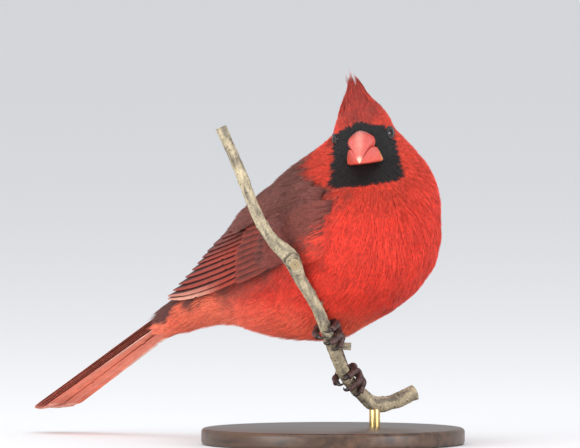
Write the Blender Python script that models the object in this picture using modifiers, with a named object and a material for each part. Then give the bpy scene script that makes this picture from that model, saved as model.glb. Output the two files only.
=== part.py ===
"""A northern cardinal, adult male, at life size, as the still model that a museum shows.

The bird grips a cut length of stem, and a plain display stand holds the stem up. Metres, +Z up.
The body heads along +X, its right side faces -Y, and the head is turned to the right.
The origin is the middle of the stand's underside.
"""

import math

import bmesh
import bpy
from mathutils import Matrix, Vector

MM = 0.001
GAP = 0.3 * MM  # left between two pieces that touch

# Where the parts of the bird lie. Sizes in the tables below are in millimetres.
BODY_CENTRE = Vector((8, 0, 71)) * MM  # middle of the trunk, over the stand's underside
HEAD_CENTRE = (9, -3, 42)  # middle of the skull, from the middle of the trunk
HEAD_TURN = -55.5  # degrees, from the body's heading to the bill's, to the bird's right
HEAD_DIP = 12  # degrees that the bill points down
HEAD_ROLL = 8  # degrees that the crown leans to the bird's right
NECK_AXIS_TURN = 40  # degrees, the broad axis of the turned neck

TAIL_ROOT = (-59.5, 0, -8.3)
TAIL_DROOP = 30.3  # degrees below level

STEM_THICKNESS = 4.6
BASE_RADIUS = 48
BASE_HEIGHT = 6
ROD_RADIUS = 2


def clear_scene():
    for obj in list(bpy.data.objects):
        bpy.data.objects.remove(obj, do_unlink=True)


def new_collection(name):
    collection = bpy.data.collections.new(name)
    bpy.context.scene.collection.children.link(collection)
    return collection


clear_scene()
PARTS = new_collection("northern_cardinal")
CUTTERS = new_collection("cutters")


def material(name, colour, roughness, metallic=0.0):
    made = bpy.data.materials.new(name)
    made.use_nodes = True
    made.diffuse_color = (*colour, 1)
    shader = made.node_tree.nodes["Principled BSDF"]
    shader.inputs["Base Color"].default_value = (*colour, 1)
    shader.inputs["Roughness"].default_value = roughness
    shader.inputs["Metallic"].default_value = metallic
    return made


PLUMAGE_RED = material("plumage_red", (0.62, 0.035, 0.02), 0.75)
WING_RED = material("wing_red", (0.27, 0.045, 0.035), 0.65)
BILL_CORAL = material("bill_coral", (0.72, 0.13, 0.09), 0.35)
EYE_DARK = material("eye_dark", (0.012, 0.008, 0.006), 0.08)
FOOT_BROWN = material("foot_brown", (0.11, 0.06, 0.055), 0.55)
CLAW_DARK = material("claw_dark", (0.035, 0.025, 0.022), 0.35)
BARK = material("bark", (0.33, 0.28, 0.2), 0.85)
STAND_WOOD = material("stand_wood", (0.075, 0.04, 0.022), 0.45)
STAND_BRASS = material("stand_brass", (0.65, 0.48, 0.22), 0.3, 1.0)


def body(x, y, z):
    """A point given in millimetres from the middle of the trunk."""
    return BODY_CENTRE + Vector((x, y, z)) * MM


HEAD = (
    Matrix.Translation(body(*HEAD_CENTRE))
    @ Matrix.Rotation(math.radians(HEAD_TURN), 4, "Z")
    @ Matrix.Rotation(math.radians(HEAD_DIP), 4, "Y")
    @ Matrix.Rotation(math.radians(HEAD_ROLL), 4, "X")
)


def head(forward, left, up):
    """A point given in millimetres from the middle of the skull, along the head's own axes."""
    return HEAD @ (Vector((forward, left, up)) * MM)


# Mesh tools


def mesh_object(name, points, faces, finish, collection=PARTS):
    mesh = bpy.data.meshes.new(name)
    mesh.from_pydata([tuple(p) for p in points], [], faces)
    tidy_normals(mesh)
    mesh.materials.append(finish)
    obj = bpy.data.objects.new(name, mesh)
    collection.objects.link(obj)
    return obj


def tidy_normals(mesh):
    bm = bmesh.new()
    bm.from_mesh(mesh)
    bmesh.ops.recalc_face_normals(bm, faces=bm.faces)
    if bm.calc_volume(signed=True) < 0:
        bmesh.ops.reverse_faces(bm, faces=bm.faces)
    bm.to_mesh(mesh)
    bm.free()


def settle(obj):
    """Replaces an object's mesh by what its modifiers make of it."""
    bpy.context.view_layer.update()
    graph = bpy.context.evaluated_depsgraph_get()
    mesh = bpy.data.meshes.new_from_object(obj.evaluated_get(graph))
    obj.modifiers.clear()
    obj.data = mesh
    return obj


def drop(obj):
    bpy.data.objects.remove(obj, do_unlink=True)


def boolean(obj, operation, other, solver="EXACT"):
    modifier = obj.modifiers.new(operation.lower(), "BOOLEAN")
    modifier.operation = operation
    modifier.solver = solver
    modifier.object = other
    return settle(obj)


def cut(obj, cutter, solver="EXACT"):
    return boolean(obj, "DIFFERENCE", cutter, solver)


def union(obj, others, solver="MANIFOLD"):
    """Joins closed pieces to obj as one closed body, and removes them."""
    together = bpy.data.collections.new("to_join")
    bpy.context.scene.collection.children.link(together)
    for other in others:
        for home in list(other.users_collection):
            home.objects.unlink(other)
        together.objects.link(other)
    modifier = obj.modifiers.new("union", "BOOLEAN")
    modifier.operation = "UNION"
    modifier.solver = solver
    modifier.operand_type = "COLLECTION"
    modifier.collection = together
    settle(obj)
    for other in list(together.objects):
        drop(other)
    bpy.data.collections.remove(together)
    return keep_largest(obj)


def keep_largest(obj):
    """Leaves only the largest closed surface of a mesh."""
    bm = bmesh.new()
    bm.from_mesh(obj.data)
    left = set(bm.faces)
    shells = []
    while left:
        shell, edge = set(), [left.pop()]
        while edge:
            face = edge.pop()
            shell.add(face)
            for link in face.edges:
                for near in link.link_faces:
                    if near in left:
                        left.discard(near)
                        edge.append(near)
        shells.append(shell)
    shells.sort(key=lambda s: sum(f.calc_area() for f in s))
    for shell in shells[:-1]:
        bmesh.ops.delete(bm, geom=list(shell), context="FACES")
    bm.to_mesh(obj.data)
    bm.free()
    return obj


def bisect(obj, point, normal, name=None):
    """Cuts a closed mesh with a plane, and keeps what lies behind it, or a new object of that."""
    if name:
        obj = mesh_copy(obj, name)
    bm = bmesh.new()
    bm.from_mesh(obj.data)
    everything = bm.verts[:] + bm.edges[:] + bm.faces[:]
    bmesh.ops.bisect_plane(bm, geom=everything, plane_co=point, plane_no=normal, clear_outer=True)
    rim = [e for e in bm.edges if e.is_boundary]
    bmesh.ops.triangle_fill(bm, use_beauty=True, edges=rim)
    bmesh.ops.recalc_face_normals(bm, faces=bm.faces)
    bm.to_mesh(obj.data)
    bm.free()
    return obj


def mesh_copy(obj, name, collection=PARTS):
    copy = bpy.data.objects.new(name, obj.data.copy())
    collection.objects.link(copy)
    return copy


def swollen(obj, amount, name="swollen"):
    """A cutter that is the piece grown by amount all round."""
    cutter = mesh_copy(obj, name, CUTTERS)
    cutter.hide_render = True
    cutter.display_type = "WIRE"
    bm = bmesh.new()
    bm.from_mesh(cutter.data)
    bmesh.ops.remove_doubles(bm, verts=bm.verts, dist=0.00001)
    bm.normal_update()
    moves = [v.normal * amount for v in bm.verts]
    for v, move in zip(bm.verts, moves):
        v.co += move
    bm.to_mesh(cutter.data)
    bm.free()
    return cutter


def through(table, key):
    """Reads a row of a table at any key between its rows, on a smooth curve through them."""
    rows = sorted(table)
    key = min(max(key, rows[0][0]), rows[-1][0])
    i = max(k for k in range(len(rows) - 1) if rows[k][0] <= key)
    a, b = rows[i], rows[i + 1]
    before, after = rows[max(i - 1, 0)], rows[min(i + 2, len(rows) - 1)]
    span = b[0] - a[0]
    t = (key - a[0]) / span
    read = []
    for j in range(1, len(a)):
        slope_a = (b[j] - before[j]) / (b[0] - before[0])
        slope_b = (after[j] - a[j]) / (after[0] - a[0])
        value = (
            (2 * t**3 - 3 * t**2 + 1) * a[j]
            + (t**3 - 2 * t**2 + t) * span * slope_a
            + (3 * t**2 - 2 * t**3) * b[j]
            + (t**3 - t**2) * span * slope_b
        )
        read.append(value)
    return read


def loft(name, rings, finish, first_pole=None, last_pole=None, collection=PARTS):
    """A closed skin over rings of equal count. An end is a pole, or a flat cap."""
    count = len(rings[0])
    points = [p for ring in rings for p in ring]
    faces = []
    for i in range(len(rings) - 1):
        for j in range(count):
            k = (j + 1) % count
            a, b, c, d = i * count + j, i * count + k, (i + 1) * count + k, (i + 1) * count + j
            faces += [(a, b, c), (a, c, d)]
    for pole, start in ((first_pole, 0), (last_pole, (len(rings) - 1) * count)):
        ring = list(range(start, start + count))
        if pole is None:
            faces.append(tuple(ring))
        else:
            points.append(pole)
            faces += [(ring[j], ring[(j + 1) % count], len(points) - 1) for j in range(count)]
    return mesh_object(name, points, faces, finish, collection)


def tube(name, line, radii, finish, sides=10, tip=None):
    """A round bar along a line of points, with a radius at each, and a pointed end if tip is given."""
    rings = []
    side = None
    for i, point in enumerate(line):
        ahead = line[min(i + 1, len(line) - 1)] - line[max(i - 1, 0)]
        ahead.normalize()
        if side is None:
            side = ahead.orthogonal().normalized()
        side = (side - ahead * side.dot(ahead)).normalized()
        other = ahead.cross(side)
        turn = [2 * math.pi * j / sides for j in range(sides)]
        rings.append([point + radii[i] * (math.cos(a) * side + math.sin(a) * other) for a in turn])
    return loft(name, rings, finish, None, tip)


def ball(name, centre, radius, finish, segments=12, rings=8, collection=PARTS):
    bm = bmesh.new()
    bmesh.ops.create_uvsphere(bm, u_segments=segments, v_segments=rings, radius=radius)
    bmesh.ops.translate(bm, verts=bm.verts, vec=centre)
    mesh = bpy.data.meshes.new(name)
    bm.to_mesh(mesh)
    bm.free()
    mesh.materials.append(finish)
    obj = bpy.data.objects.new(name, mesh)
    collection.objects.link(obj)
    return obj


def vane(name, stations, finish):
    """A thin closed plate along stations of (one edge, middle, other edge, normal, edge, crown).

    edge and crown are half the thickness at the edges and along the shaft. Both faces are split
    into the same triangles, so that they keep apart where the vane curves.
    """
    points, faces = [], []
    for left, middle, right, normal, edge, crown in stations:
        points += [left - normal * edge, middle - normal * crown, right - normal * edge]
        points += [left + normal * edge, middle + normal * crown, right + normal * edge]
    for i in range(len(stations) - 1):
        a, b = 6 * i, 6 * (i + 1)
        for side in (0, 3):
            for j in (0, 1):
                p, q, r, s = a + side + j, a + side + j + 1, b + side + j + 1, b + side + j
                faces += [(p, q, r), (p, r, s)]
        for j in (0, 2):
            faces += [(a + j, b + j, b + j + 3), (a + j, b + j + 3, a + j + 3)]
    for a in (0, 6 * (len(stations) - 1)):
        faces += [(a, a + 1, a + 4), (a, a + 4, a + 3), (a + 1, a + 2, a + 5), (a + 1, a + 5, a + 4)]
    return mesh_object(name, points, faces, finish)


def shade(obj, angle=40):
    obj.data.shade_smooth()
    obj.data.set_sharp_from_angle(angle=math.radians(angle))


# Trunk, neck and skull, modelled whole and then parted by thin cuts

# Level rings of breast and neck: height, centre along the ring's broad axis and across it,
# half of each size. The broad axis of the breast is the heading, and that of the neck turns
# with the head.
BREAST = [
    (-31.6, -14, 0, 11, 9),
    (-28, -13.6, 0, 16, 14.5),
    (-22.5, -7.6, 0, 22.2, 21.4),
    (-15, -2.6, 0, 27.4, 26.4),
    (-5.5, 0, 0, 32.5, 30),
    (5, 0.5, 0, 34.5, 31.5),
    (13, 0.8, 0, 33.5, 31.5),
]
NECK = [
    (14, 0.8, 0, 32.8, 31.5),
    (20, 1.2, 0.5, 31.8, 29.5),
    (25, 1.9, 1, 29.8, 25.5),
    (30, 3.4, 0.5, 26, 20.5),
    (34, 4.8, -0.5, 21.7, 16),
    (38, 5.8, -2, 17.3, 13),
    (42, 6.3, -4, 13, 11),
    (46, 6, -5, 9, 9),
]

# Upright rings of belly and rump: forward, half width, top, bottom
RUMP = [
    (-84, 6, -25, -32),
    (-80, 8.5, -20.5, -32),
    (-70, 11.5, -11.5, -29.5),
    (-60, 14.5, -2, -28),
    (-50, 18, 8.5, -28.5),
    (-40, 22, 18, -31),
    (-30, 25.5, 24.5, -32.5),
    (-20, 28, 29.5, -33),
    (-10, 28.5, 31, -31),
    (5, 24, 19, -22),
]
RUMP_FULLNESS = 2.4  # of its upper half: 2 is an ellipse, more is fuller at the shoulders
SQUARISH = 2.6  # the same measure for the arm and the tail's stump

# Rings across the skull: forward, half width, top, bottom
SKULL = [
    (-11.8, 5.5, 7.5, -4),
    (-8, 9.7, 11.3, -9),
    (-4, 11.2, 12.2, -11.5),
    (0, 11.4, 12, -12.5),
    (4, 10.6, 10.5, -12.5),
    (7, 9, 8, -12),
    (9.5, 6.6, 5, -10),
]

# Level rings of the crest's core: up, forward, half length, half width
CREST_CORE = [
    (6, -1.5, 10, 10),
    (9.5, -3.2, 8, 7.6),
    (12.2, -5, 5, 4.4),
]

SKIN_VOXEL = 1.25  # size of the cells in which trunk, neck and skull melt together
SKIN_TRIANGLES = 2500
RING_SIDES = 28
ROUND = [2 * math.pi * j / RING_SIDES for j in range(RING_SIDES)]


def breast_rings():
    rings = []
    for height, along, across, half_a, half_b in BREAST:
        rings.append(
            [body(along + half_a * math.cos(a), across + half_b * math.sin(a), height) for a in ROUND]
        )
    turn = Matrix.Rotation(math.radians(NECK_AXIS_TURN), 3, "Z")
    for height, along, across, half_a, half_b in NECK:
        ring = []
        for a in ROUND:
            a -= math.radians(NECK_AXIS_TURN)
            flat = turn @ Vector((along + half_a * math.cos(a), across + half_b * math.sin(a), 0))
            ring.append(body(flat.x, flat.y, height))
        rings.append(ring)
    return rings


def fuller(wave, fullness):
    return math.copysign(abs(wave) ** (2 / fullness), wave)


def upright_ring(place, forward, half_width, top, bottom, fullness=2):
    middle, half_height = (top + bottom) / 2, (top - bottom) / 2
    ring = []
    for a in ROUND:
        squareness = fullness if math.sin(a) > 0 else 2
        across = half_width * fuller(math.cos(a), squareness)
        ring.append(place(forward, across, middle + half_height * fuller(math.sin(a), squareness)))
    return ring


def whole_body():
    """One smooth closed skin over trunk, neck and skull."""
    trunk = loft(
        "breast", breast_rings(), PLUMAGE_RED, body(-12, 0, -33), body(4.6, 3.9, 49)
    )
    rump = loft(
        "rump",
        [upright_ring(body, *row, RUMP_FULLNESS) for row in RUMP],
        PLUMAGE_RED,
        body(-88, 0, -29.5),
        body(10, 0, -2),
    )
    skull = loft(
        "skull",
        [upright_ring(head, *row) for row in SKULL],
        PLUMAGE_RED,
        head(-13.3, 0, 2),
        head(11, 0, -3),
    )
    core = loft(
        "core",
        [
            [head(f + a * math.cos(t), b * math.sin(t), up) for t in ROUND]
            for up, f, a, b in CREST_CORE
        ],
        PLUMAGE_RED,
        head(-1, 0, 3),
        head(-6.5, -0.3, 13.8),
    )
    union(trunk, [rump, skull, core])
    remesh = trunk.modifiers.new("remesh", "REMESH")
    remesh.mode = "VOXEL"
    remesh.voxel_size = SKIN_VOXEL * MM
    smooth = trunk.modifiers.new("smooth", "SMOOTH")
    smooth.factor = 0.5
    smooth.iterations = 9
    settle(trunk)
    thin = trunk.modifiers.new("decimate", "DECIMATE")
    thin.ratio = SKIN_TRIANGLES / (2 * len(trunk.data.polygons))
    return settle(trunk)


whole = whole_body()

# The head ends below the bib, and a collar of neck lies between it and the trunk
HEAD_CUT = head(0, 0, -14.6)
HEAD_CUT_NORMAL = (HEAD.to_3x3() @ Vector((-0.08, 0, 1))).normalized()
NECK_CUT = body(3, 0, 19)
NECK_CUT_NORMAL = Vector((0.1, -0.12, 1)).normalized()

skull_piece = bisect(whole, HEAD_CUT + HEAD_CUT_NORMAL * GAP / 2, -HEAD_CUT_NORMAL, "head")
neck_piece = bisect(whole, HEAD_CUT - HEAD_CUT_NORMAL * GAP / 2, HEAD_CUT_NORMAL, "neck")
bisect(neck_piece, NECK_CUT + NECK_CUT_NORMAL * GAP / 2, -NECK_CUT_NORMAL)
torso = bisect(whole, NECK_CUT - NECK_CUT_NORMAL * GAP / 2, NECK_CUT_NORMAL, "torso")
drop(whole)


# Wings, folded. A wing's surface has two measures, in millimetres: p runs from the wrist to the
# tip, q runs up across it from the line below. Height stands off the surface, away from the body.

# Down the wing: p, then the place of the line, the tilt of the surface and its curve
WING_LINE = [
    (-10, 15.8, -27.2, 14.9, 8, 34),
    (-6, 12, -28.7, 13.5, 8, 34),
    (0, 6.5, -30.3, 11.7, 8, 34),
    (16, -9.5, -31, 7, 11, 42),
    (33, -26, -29, 1.5, 15, 52),
    (45, -37.5, -25.2, -3, 18, 66),
    (58, -49, -19.8, -7.5, 21, 84),
    (75, -65.5, -13, -13.5, 28, 95),
    (95, -81, -7, -19, 40, 100),
]

# The wrist and the covert rows stand deeper in the flank than the free feathers do
WING_SINK = [(-10, -1.5), (34, -1.5), (58, 0), (97, 0)]

# The arm under the small coverts: p, lower edge, upper edge, inner face, outer face
WING_ARM = [
    (-4.5, -5, 4, -1.2, 0.4),
    (-1, -9, 7, -2, 1),
    (6, -11.5, 9.5, -2.2, 1.4),
    (15, -12.5, 12, -2.2, 1.4),
    (24, -13, 14.5, -2.2, 1.1),
    (30, -12.8, 15.5, -1.9, 0.4),
]

# Flight feathers from the lower edge up: p and q of the tip, half width, bow of the middle line
FLIGHT = [
    (94, -1, 2.4, -1.7),
    (95, 0.4, 2.4, -1.5),
    (92.5, 2.4, 2.4, -1.1),
    (89, 4.2, 2.5, -0.7),
    (84.5, 6.1, 2.6, -0.4),
    (80, 8, 2.8, 0),
    (76, 9.4, 2.9, 0),
    (72.5, 10.6, 3, 0),
    (69, 11.7, 3.1, 0),
    (64.5, 12.6, 3.3, 0.2),
    (58.5, 13, 3.4, 0.4),
    (52, 13.3, 3.4, 0.6),
]
FLIGHT_ROOT = 24  # p where the flight feathers are rooted
FLIGHT_SPREAD = (-11, 11.9)  # q of the lowest and of the uppermost root
FLIGHT_STEP = 0.82  # each feather lies this much over the one below it
VANE_HALF = 0.25  # half the thickness of a flight feather
VANE_EDGE = 0.2  # the same at its edges

GREATER_COVERTS = 7
MEDIAN_COVERTS = 6


def wing_point(p, q, height, side):
    """A point of a folded wing and the way out there. side is -1 on the bird's right, 1 on its left."""
    x, y, z, tilt, curve = through(WING_LINE, p)
    height += through(WING_SINK, p)[0]
    tilt = math.radians(tilt)
    level = Vector((0, -math.cos(tilt), math.sin(tilt)))
    upward = Vector((0, math.sin(tilt), math.cos(tilt)))
    bend = q / curve
    out = level * math.cos(bend) + upward * math.sin(bend)
    at = Vector((x, y, z)) + upward * curve * math.sin(bend) - level * curve * (1 - math.cos(bend))
    at += out * height
    return body(at.x, -side * at.y, at.z), Vector((0, -side * out.y, out.z))


def wing_vane(side, root, tip, half_width, bow, height, slope, rows, taper=0.16):
    """A feather lying on the wing. height(t) lifts its middle line, slope tips its width."""
    stations = []
    for t in rows:
        p = root[0] + (tip[0] - root[0]) * t
        q = root[1] + (tip[1] - root[1]) * t + bow * math.sin(math.pi * t)
        wide = half_width * (0.62 + 0.38 * min(1, t / 0.35))
        if t > 0.86:
            wide *= max(taper, math.sqrt(1 - ((t - 0.86) / 0.145) ** 2))
        middle, out = wing_point(p, q, height(t, p, q), side)
        low, _ = wing_point(p, q - wide, height(t, p, q) + slope * wide, side)
        high, _ = wing_point(p, q + wide, height(t, p, q) - slope * wide, side)
        stations.append((low, middle, high, out, VANE_EDGE * MM, VANE_HALF * MM))
    return vane("vane", stations, WING_RED)


def flight_middle(index, t):
    """q of a flight feather's middle line."""
    _, tip_q, _, bow = FLIGHT[index]
    low, high = FLIGHT_SPREAD
    root_q = low + (high - low) * index / (len(FLIGHT) - 1)
    return root_q + (tip_q - root_q) * t + bow * math.sin(math.pi * t)


def wing(name, side):
    rings = []
    for p, low, high, inner, outer in WING_ARM:
        ring = []
        for a in ROUND[::2]:
            q = (low + high) / 2 + (high - low) / 2 * fuller(math.cos(a), SQUARISH)
            height = (inner + outer) / 2 + (outer - inner) / 2 * fuller(math.sin(a), SQUARISH)
            ring.append(wing_point(p, q, height, side)[0])
        rings.append(ring)
    first, _ = wing_point(-6, 1, -0.5, side)
    last, _ = wing_point(33.5, 1, -0.9, side)
    arm = loft(name, rings, WING_RED, first, last)

    spread = (FLIGHT_SPREAD[1] - FLIGHT_SPREAD[0]) / (len(FLIGHT) - 1)
    slope = FLIGHT_STEP / spread
    vanes = []
    for index, (tip_p, tip_q, half_width, bow) in enumerate(FLIGHT):
        root_q = FLIGHT_SPREAD[0] + spread * index

        def height(t, p, q, index=index):
            lowest = (p - FLIGHT_ROOT) / (FLIGHT[0][0] - FLIGHT_ROOT)
            return FLIGHT_STEP * index - slope * (q - flight_middle(0, min(1, lowest)))

        rows = (0, 0.3, 0.6, 0.86, 1)
        root, tip = (FLIGHT_ROOT, root_q), (tip_p, tip_q)
        vanes.append(wing_vane(side, root, tip, half_width, bow, height, slope, rows))

    for index in range(GREATER_COVERTS):
        u = index / (GREATER_COVERTS - 1)
        tip_p = 41 - 2.2 * abs(index - 2) / 3
        vanes.append(
            wing_vane(
                side, (25, -10.4 + 21.6 * u), (tip_p, -10.6 + 23.4 * u), 2.6, 0,
                lambda t, p, q: 0.2 + 1.75 * min(1, t / 0.5), 0.16, (0, 0.5, 0.86, 1), 0.3,
            )
        )
    for index in range(MEDIAN_COVERTS):
        u = index / (MEDIAN_COVERTS - 1)
        vanes.append(
            wing_vane(
                side, (12, -9 + 17.4 * u), (25.5 + index % 2, -9.4 + 20.6 * u), 2.7, 0,
                lambda t, p, q: 0.1 + 2.1 * min(1, t / 0.6), 0.14, (0, 0.6, 0.86, 1), 0.3,
            )
        )
    return union(arm, vanes)


def wing_room(side):
    """A cutter for the hollow in the flank that the folded wing lies in."""
    rings = []
    for p in (-6.6, -2.5, 4, 14, 24, 34, 44, 54, 64, 74, 84, 91, 97):
        if p < 31:
            low, high = (through(WING_ARM, p)[j] for j in (0, 1))
            floor = -2.6
        else:
            along = min(1, (p - FLIGHT_ROOT) / (FLIGHT[0][0] - FLIGHT_ROOT))
            low = flight_middle(0, along) - FLIGHT[0][2]
            high = through([(31, 16.5), (45, 16.8), (58, 16.5), (72, 14), (84, 9), (97, 3.5)], p)[0]
            floor = through([(31, -2.6), (62, -2.6), (80, -2.1), (97, -1.8)], p)[0]
        low, high = low - 0.7, high + 0.7
        span = [low + (high - low) * k / 5 for k in range(6)]
        ring = [wing_point(p, q, floor, side)[0] for q in span]
        ring += [wing_point(p, q, 14, side)[0] for q in reversed(span)]
        rings.append(ring)
    cutter = loft("wing_room", rings, WING_RED, collection=CUTTERS)
    cutter.hide_render = True
    cutter.display_type = "WIRE"
    return cutter


for name, side in (("wing_right", -1), ("wing_left", 1)):
    shade(wing(name, side))
    for piece in (torso, neck_piece):
        cut(piece, wing_room(side), "MANIFOLD")


# Tail, folded: the middle pair on top, each next pair a step lower and further out

TAIL_AXIS = Vector((-math.cos(math.radians(TAIL_DROOP)), 0, -math.sin(math.radians(TAIL_DROOP))))
TAIL_UP = Vector((-math.sin(math.radians(TAIL_DROOP)), 0, math.cos(math.radians(TAIL_DROOP))))

# Tail feathers of one side: length, distance out at the root and at the tip, half width, step down
TAIL_FEATHERS = [
    (103.2, 0.9, 2.7, 4, -1.64),
    (101.6, 1.3, 3.6, 4, -2.46),
    (99.4, 1.7, 4.4, 4, -3.28),
    (96.4, 2.1, 5.1, 3.9, -4.10),
    (91, 2.5, 5.7, 3.6, -4.92),
]
TAIL_MIDDLE = [(105.2, 0.3, 0.5, 4.9, 0), (104.7, -0.3, -0.5, 4.9, -0.82)]

# The stump that they grow from: distance along the tail, half width, top, bottom
TAIL_STUMP = [
    (-5, 2, -1, -3.5),
    (0, 4, 0.3, -5),
    (9, 5.2, 0.6, -5.6),
    (17, 5.4, 0, -5.3),
]

# The slot for them in the rump: distance along the tail, half width
TAIL_ROOM = [(-7.8, 2.6), (-3.6, 4.8), (2, 5.6), (10, 6.3), (20, 7), (35, 8.8), (50, 10.6)]


def tail_point(along, left, up):
    across = Vector((0, left, 0)) + TAIL_UP * up
    return body(*TAIL_ROOT) + (TAIL_AXIS * along + across) * MM


def tail_feather(length, root, tip, half_width, step):
    stations = []
    for t in (0, 0.35, 0.72, 0.92, 1):
        wide = half_width * (0.36 + 0.64 * min(1, t / 0.72))
        if t == 1:
            wide *= 0.3
        along = -2 + (length + 2) * t
        left = root + (tip - root) * t
        low, middle, high = (tail_point(along, left + w, step) for w in (-wide, 0, wide))
        stations.append((low, middle, high, TAIL_UP, VANE_EDGE * MM, VANE_HALF * MM))
    return vane("vane", stations, WING_RED)


def tail():
    rings = []
    for along, half_width, top, bottom in TAIL_STUMP:
        ring = []
        for a in ROUND[::2]:
            left = half_width * fuller(math.cos(a), SQUARISH)
            up = (top + bottom) / 2 + (top - bottom) / 2 * fuller(math.sin(a), SQUARISH)
            ring.append(tail_point(along, left, up))
        rings.append(ring)
    stump = loft("tail", rings, WING_RED, tail_point(-7, 0, -2.2), tail_point(19.5, 0, -2.6))
    vanes = [tail_feather(*row) for row in TAIL_MIDDLE]
    for length, root, tip, half_width, step in TAIL_FEATHERS:
        for side in (-1, 1):
            vanes.append(tail_feather(length, side * root, side * tip, half_width, step))
    return union(stump, vanes)


def tail_room():
    """A cutter for the slot between the coverts over and under the tail."""
    rings = []
    for along, half_width in TAIL_ROOM:
        top, bottom = (0.7, -6) if along > -4 else (-0.2, -4.4)
        outline = [(0, top), (0.62, top), (1, (top + bottom) / 2 - 0.5), (1, bottom), (0, bottom)]
        outline += [(-1, bottom), (-1, (top + bottom) / 2 - 0.5), (-0.62, top)]
        rings.append([tail_point(along, half_width * left, up) for left, up in outline])
    cutter = loft("tail_room", rings, WING_RED, collection=CUTTERS)
    cutter.hide_render = True
    cutter.display_type = "WIRE"
    return cutter


shade(tail())
cut(torso, tail_room(), "MANIFOLD")


# Eyes and bill, set in the head

EYE_PLACE = (2.6, 8.4, 0.2)  # of the left one, along the head's axes
EYE_RADIUS = 3.3
LID_OUT = 2.1  # how far out of the eye's middle the ring of lids lies
LID_SIZE = (2.75, 2.45)  # half its length and half its height
LID_RADIUS = 0.55
LID_STEPS = 12
LID_SIDES = 5

NOSTRIL_PLACE = (12, 3.3, 2.1)  # of the left one
NOSTRIL_RADIUS = 0.75

# Upright sections of the bill: forward, half width at the mouth's edge, top or bottom, and the edge
UPPER_BILL = [
    (7, 5.2, 4.4, -3.6),
    (10, 5.3, 3.9, -2.3),
    (13.5, 4.7, 2.9, -1.3),
    (17, 3.6, 1.3, -1.6),
    (20.5, 2.4, -0.8, -2.6),
    (23.3, 1.2, -2.9, -4),
]
UPPER_TIP = (25, 0, -5)
LOWER_BILL = [
    (7, 6.7, -9.2, -3.9),
    (10, 6.5, -9, -2.6),
    (13.5, 5.5, -8.5, -1.6),
    (17, 4.1, -7.6, -1.9),
    (20, 2.5, -6.5, -2.8),
    (22, 1.2, -5.6, -3.9),
]
LOWER_TIP = (23, 0, -4.9)
BILL_SIDES = 9  # points over the back of each half


def bill_half(name, sections, tip, keel):
    """One half of the bill, arched from edge to edge, with a slightly keeled ridge."""
    rings = []
    for forward, half_width, far, edge in sections:
        ring = []
        for j in range(BILL_SIDES):
            a = math.pi * j / (BILL_SIDES - 1)
            across, rise = math.cos(a), math.sin(a)
            ring.append(head(forward, half_width * fuller(across, keel), edge + (far - edge) * rise))
        ring += [head(forward, half_width * w, edge + (edge - far) * 0.02) for w in (-0.5, 0.5)]
        rings.append(ring)
    return loft(name, rings, BILL_CORAL, head(sections[0][0] - 0.8, 0, sections[0][3]), head(*tip))


def eye(name, side):
    forward, left, up = EYE_PLACE
    return ball(name, head(forward, side * left, up), EYE_RADIUS * MM, EYE_DARK, 14, 9)


def eyelids(side):
    """A low ring of skin round the open eye."""
    forward, left, up = EYE_PLACE
    middle = Vector((forward, side * left, up))
    out = Vector((0.36, side * 0.93, 0.05)).normalized()
    long = Vector((0.93, -side * 0.36, 0)).normalized()
    high = out.cross(long).normalized()
    points = []
    for j in range(LID_STEPS):
        a = 2 * math.pi * j / LID_STEPS
        round_eye = long * math.cos(a) * LID_SIZE[0] + high * math.sin(a) * LID_SIZE[1]
        for k in range(LID_SIDES):
            b = 2 * math.pi * k / LID_SIDES
            spoke = round_eye.normalized() * math.cos(b) + out * math.sin(b)
            points.append(head(*(middle + out * LID_OUT + round_eye + spoke * LID_RADIUS)))
    faces = []
    for j in range(LID_STEPS):
        here, ahead = j * LID_SIDES, (j + 1) % LID_STEPS * LID_SIDES
        for k in range(LID_SIDES):
            after = (k + 1) % LID_SIDES
            faces.append((here + k, here + after, ahead + after, ahead + k))
    return mesh_object("lid", points, faces, PLUMAGE_RED)


def nostril(side):
    """A cutter for the small pit at the base of the bill's upper half."""
    forward, left, up = NOSTRIL_PLACE
    place = head(forward, side * left, up)
    return ball("nostril", place, NOSTRIL_RADIUS * MM, BILL_CORAL, 8, 6, CUTTERS)


# Crest: rows of locks from the forehead to the nape. Forward place of the row and of its tips,
# height of the tips on the middle line, how many locks, half the spread of their roots and of
# their tips, and how much lower the outermost tips lie
CREST_ROWS = [
    (6.8, 1.8, 12.4, 3, 4.1, 2.1, 4.2),
    (3.6, -2.2, 15.4, 4, 6.5, 3.2, 4.4),
    (0.2, -5.8, 18.6, 4, 7.4, 3.1, 4.4),
    (-3.4, -8.6, 21.4, 4, 7, 2.4, 3.2),
    (-5.4, -9.6, 23.6, 3, 3.8, 0.8, 1.1),
    (-6.8, -11.1, 20, 3, 5.5, 2.2, 3.2),
    (-9.6, -12.4, 14.8, 3, 4.3, 2.2, 4.2),
]
CREST_TOP = 21.8
CREST_LEAN = -1.6  # how far the crest's point lies to the bird's right
LOCK_HALF = 3.1  # half the width of a lock
LOCK_BEND = 1.5  # how far its middle stands out of the straight line
LOCK_STATIONS = [  # way along it, share of the width, half the thickness
    (0, 0.8, 0.5),
    (0.45, 1, 0.45),
    (0.8, 0.62, 0.32),
    (1, 0.12, 0.12),
]


def crest_lock(root, tip):
    root, tip = Vector(root), Vector(tip)
    lean = (tip - root).normalized()
    outward = Vector((root.x + 4, root.y * 1.4, 2.5))
    out = (outward - lean * outward.dot(lean)).normalized()
    side = lean.cross(out).normalized()
    normal = (HEAD.to_3x3() @ out).normalized()
    stations = []
    for t, width, thick in LOCK_STATIONS:
        at = root.lerp(tip, t) + out * LOCK_BEND * math.sin(math.pi * t)
        wide = LOCK_HALF * width
        ends = [head(*(at - side * wide)), head(*at), head(*(at + side * wide))]
        stations.append((*ends, normal, thick * 0.6 * MM, thick * MM))
    return vane("lock", stations, PLUMAGE_RED)


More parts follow.
